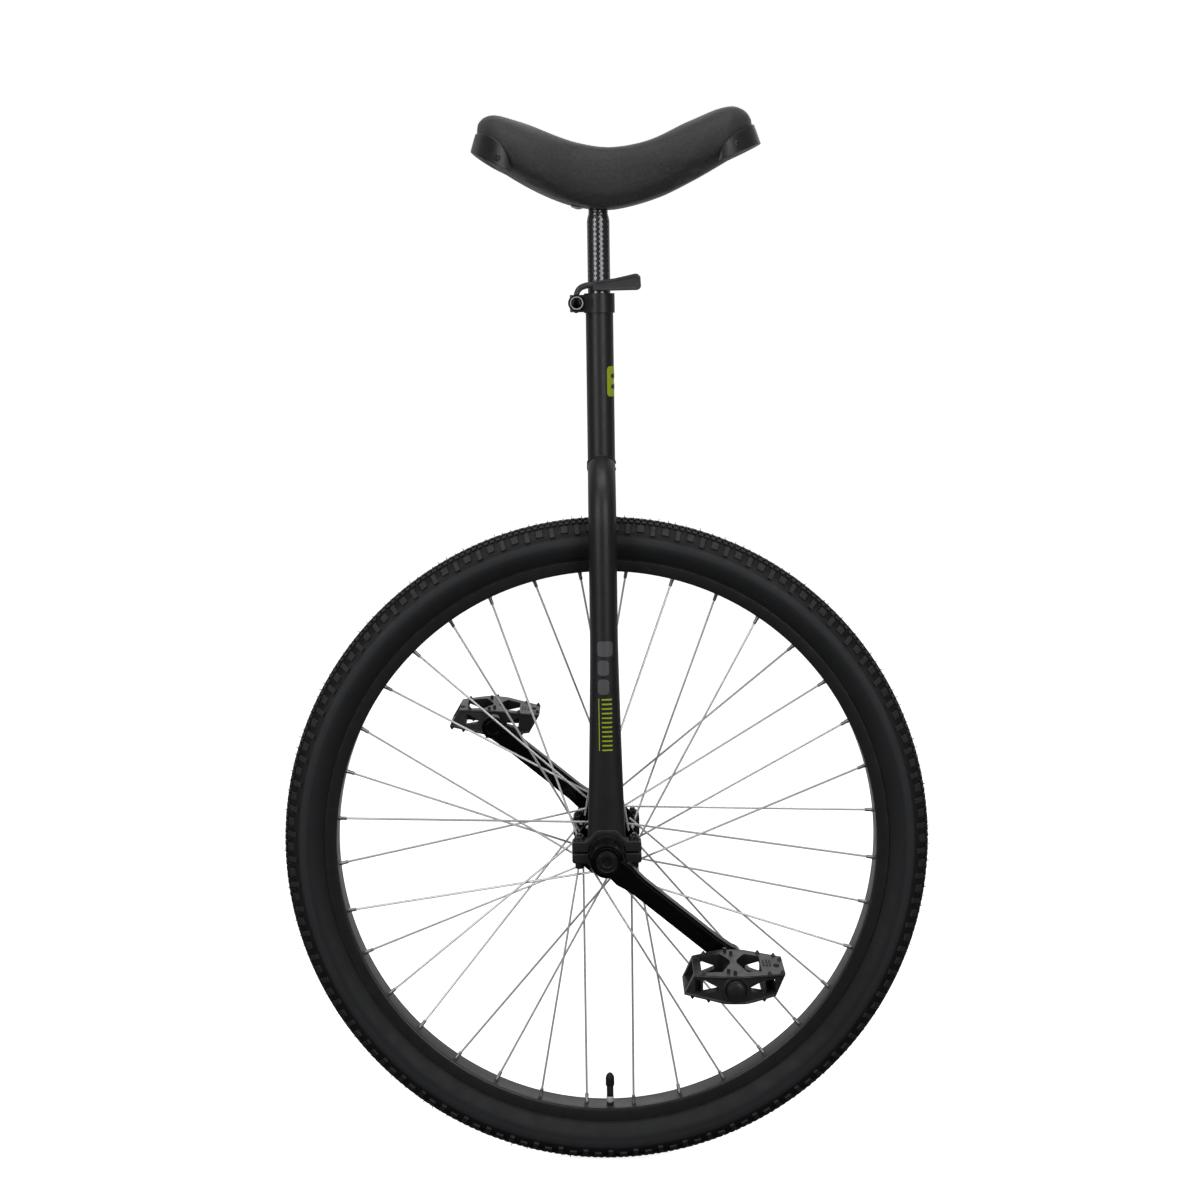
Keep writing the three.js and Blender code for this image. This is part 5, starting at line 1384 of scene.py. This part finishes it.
# ---------------------------------------------------------------- Hidden CAD nodes get their finish too


def dress_cad_nodes():
    """Everything still shown from the CAD frame gets a worked material."""
    for name, obj in frame["nodes"].items():
        if obj.hide_render:
            continue
        obj.data.materials.clear()
        obj.data.materials.append(SOFT_RUBBER if name in ("rim_tape", "inner_tube") else NICKEL)


# ---------------------------------------------------------------- Stage

BACKDROP_GLOW = 0.3


def stage_material():
    """A pale floor and backdrop. What the object reflects is dark in front of it and bright behind it."""
    nodes = Nodes("pale_floor")
    seen = nodes.node("ShaderNodeLightPath").outputs["Is Camera Ray"]
    depth = nodes.node("ShaderNodeSeparateXYZ", {"Vector": nodes.place}).outputs["Y"]
    behind = nodes.ramp(depth, 0.0, 1.2)
    speckle = nodes.mix(nodes.noise(400, 3), tint(226, 226, 226), tint(232, 232, 232))
    hidden = nodes.mix(behind, tint(62, 62, 62), speckle)
    glow = nodes.maths("MULTIPLY", nodes.ramp(depth, 1.0, 4.0), BACKDROP_GLOW)
    glow = nodes.maths("MAXIMUM", nodes.maths("MULTIPLY", seen, 0.86), glow)
    nodes.feed(nodes.shader.inputs["Emission Color"], (1, 1, 1, 1))
    nodes.feed(nodes.shader.inputs["Emission Strength"], glow)
    return nodes.finish(nodes.mix(seen, hidden, speckle), 0.9, specular=0.1)


def build_stage():
    """A floor that sweeps up into a backdrop far behind."""
    profile = [(-9, 0), (4, 0), *arc(3, -90, 0, 12, (4, 3))[1:], (7, 9)]
    mesh = bpy.data.meshes.new("floor")
    vertices = [(x, y, z) for y, z in profile for x in (-14, 14)]
    faces = [(2 * i, 2 * i + 1, 2 * i + 3, 2 * i + 2) for i in range(len(profile) - 1)]
    mesh.from_pydata(vertices, [], faces)
    mesh.shade_smooth()
    mesh.materials.append(stage_material())
    added("floor", mesh)


def area_light(name, place, target, width, height, power):
    """A softbox the camera can't see, facing its target."""
    light = bpy.data.lights.new(name, "AREA")
    light.shape = "RECTANGLE"
    light.size, light.size_y = width, height
    light.energy = power
    obj = added(name, light)
    obj.location = place
    obj.rotation_euler = (Vector(target) - Vector(place)).to_track_quat("-Z", "Y").to_euler()
    obj.visible_camera = False


def build_lights():
    """Two upright softboxes either side of the camera, one overhead and a weak one behind."""
    middle = (0, 0, 0.62)
    for name, degrees, power in (("left_softbox", -38, 19), ("right_softbox", 28, 19)):
        angle = math.radians(degrees)
        place = (2.5 * math.sin(angle), -2.5 * math.cos(angle), 1.35)
        area_light(name, place, middle, 1.1, 2.2, power)
    area_light("top_softbox", (0, -0.3, 3.2), middle, 2.4, 1.8, 36)
    area_light("back_softbox", (0.3, 3.0, 2.2), middle, 2.6, 1.6, 12)
    bpy.context.scene.world = studio_world()
    bpy.context.scene.view_settings.view_transform = "Standard"


def studio_world():
    """White to the camera, and a dim fill for everything it lights."""
    world = bpy.data.worlds.new("studio")
    world.use_nodes = True
    tree = world.node_tree
    seen = tree.nodes.new("ShaderNodeLightPath").outputs["Is Camera Ray"]
    strength = tree.nodes.new("ShaderNodeMapRange")
    strength.inputs["To Min"].default_value = 0.09
    strength.inputs["To Max"].default_value = 1.0
    tree.links.new(seen, strength.inputs["Value"])
    background = tree.nodes["Background"]
    background.inputs["Color"].default_value = (0.97, 0.98, 1.0, 1)
    tree.links.new(strength.outputs["Result"], background.inputs["Strength"])
    return world


CAMERA_PLACE = (-0.0026, -2.0501, 0.9813)
CAMERA_SHIFT = {"shift_x": 0.00225, "shift_y": -0.2278}
CAMERA_LENS = 54.61
CAMERA_DOWN_DEG = 1.09
CAMERA_ROLL_DEG = -0.79


def build_camera():
    """Level with the clamp, facing +Y, with the picture's centre shifted down to the whole object.

    The shift belongs to this one place: it drops to nothing when the camera is moved to look from elsewhere.
    """
    camera = bpy.data.cameras.new("camera")
    camera.sensor_width = 36
    camera.lens = CAMERA_LENS
    obj = added("camera", camera)
    obj.location = CAMERA_PLACE
    for name, shift in CAMERA_SHIFT.items():
        rule = camera.driver_add(name).driver
        rule.expression = f"{shift} if abs(height - {CAMERA_PLACE[2]}) < 0.001 else 0"
        height = rule.variables.new()
        height.name = "height"
        height.type = "TRANSFORMS"
        height.targets[0].id = obj
        height.targets[0].transform_type = "LOC_Z"
    pitch = Matrix.Rotation(math.radians(90 - CAMERA_DOWN_DEG), 4, "X")
    roll = Matrix.Rotation(math.radians(CAMERA_ROLL_DEG), 4, "Z")
    obj.rotation_euler = (pitch @ roll).to_euler()
    bpy.context.scene.camera = obj


build_frame()
build_decals()
build_wheel()
build_cranks()
build_pedals()
build_clamp()
build_saddle()
dress_cad_nodes()
build_stage()
build_lights()
build_camera()
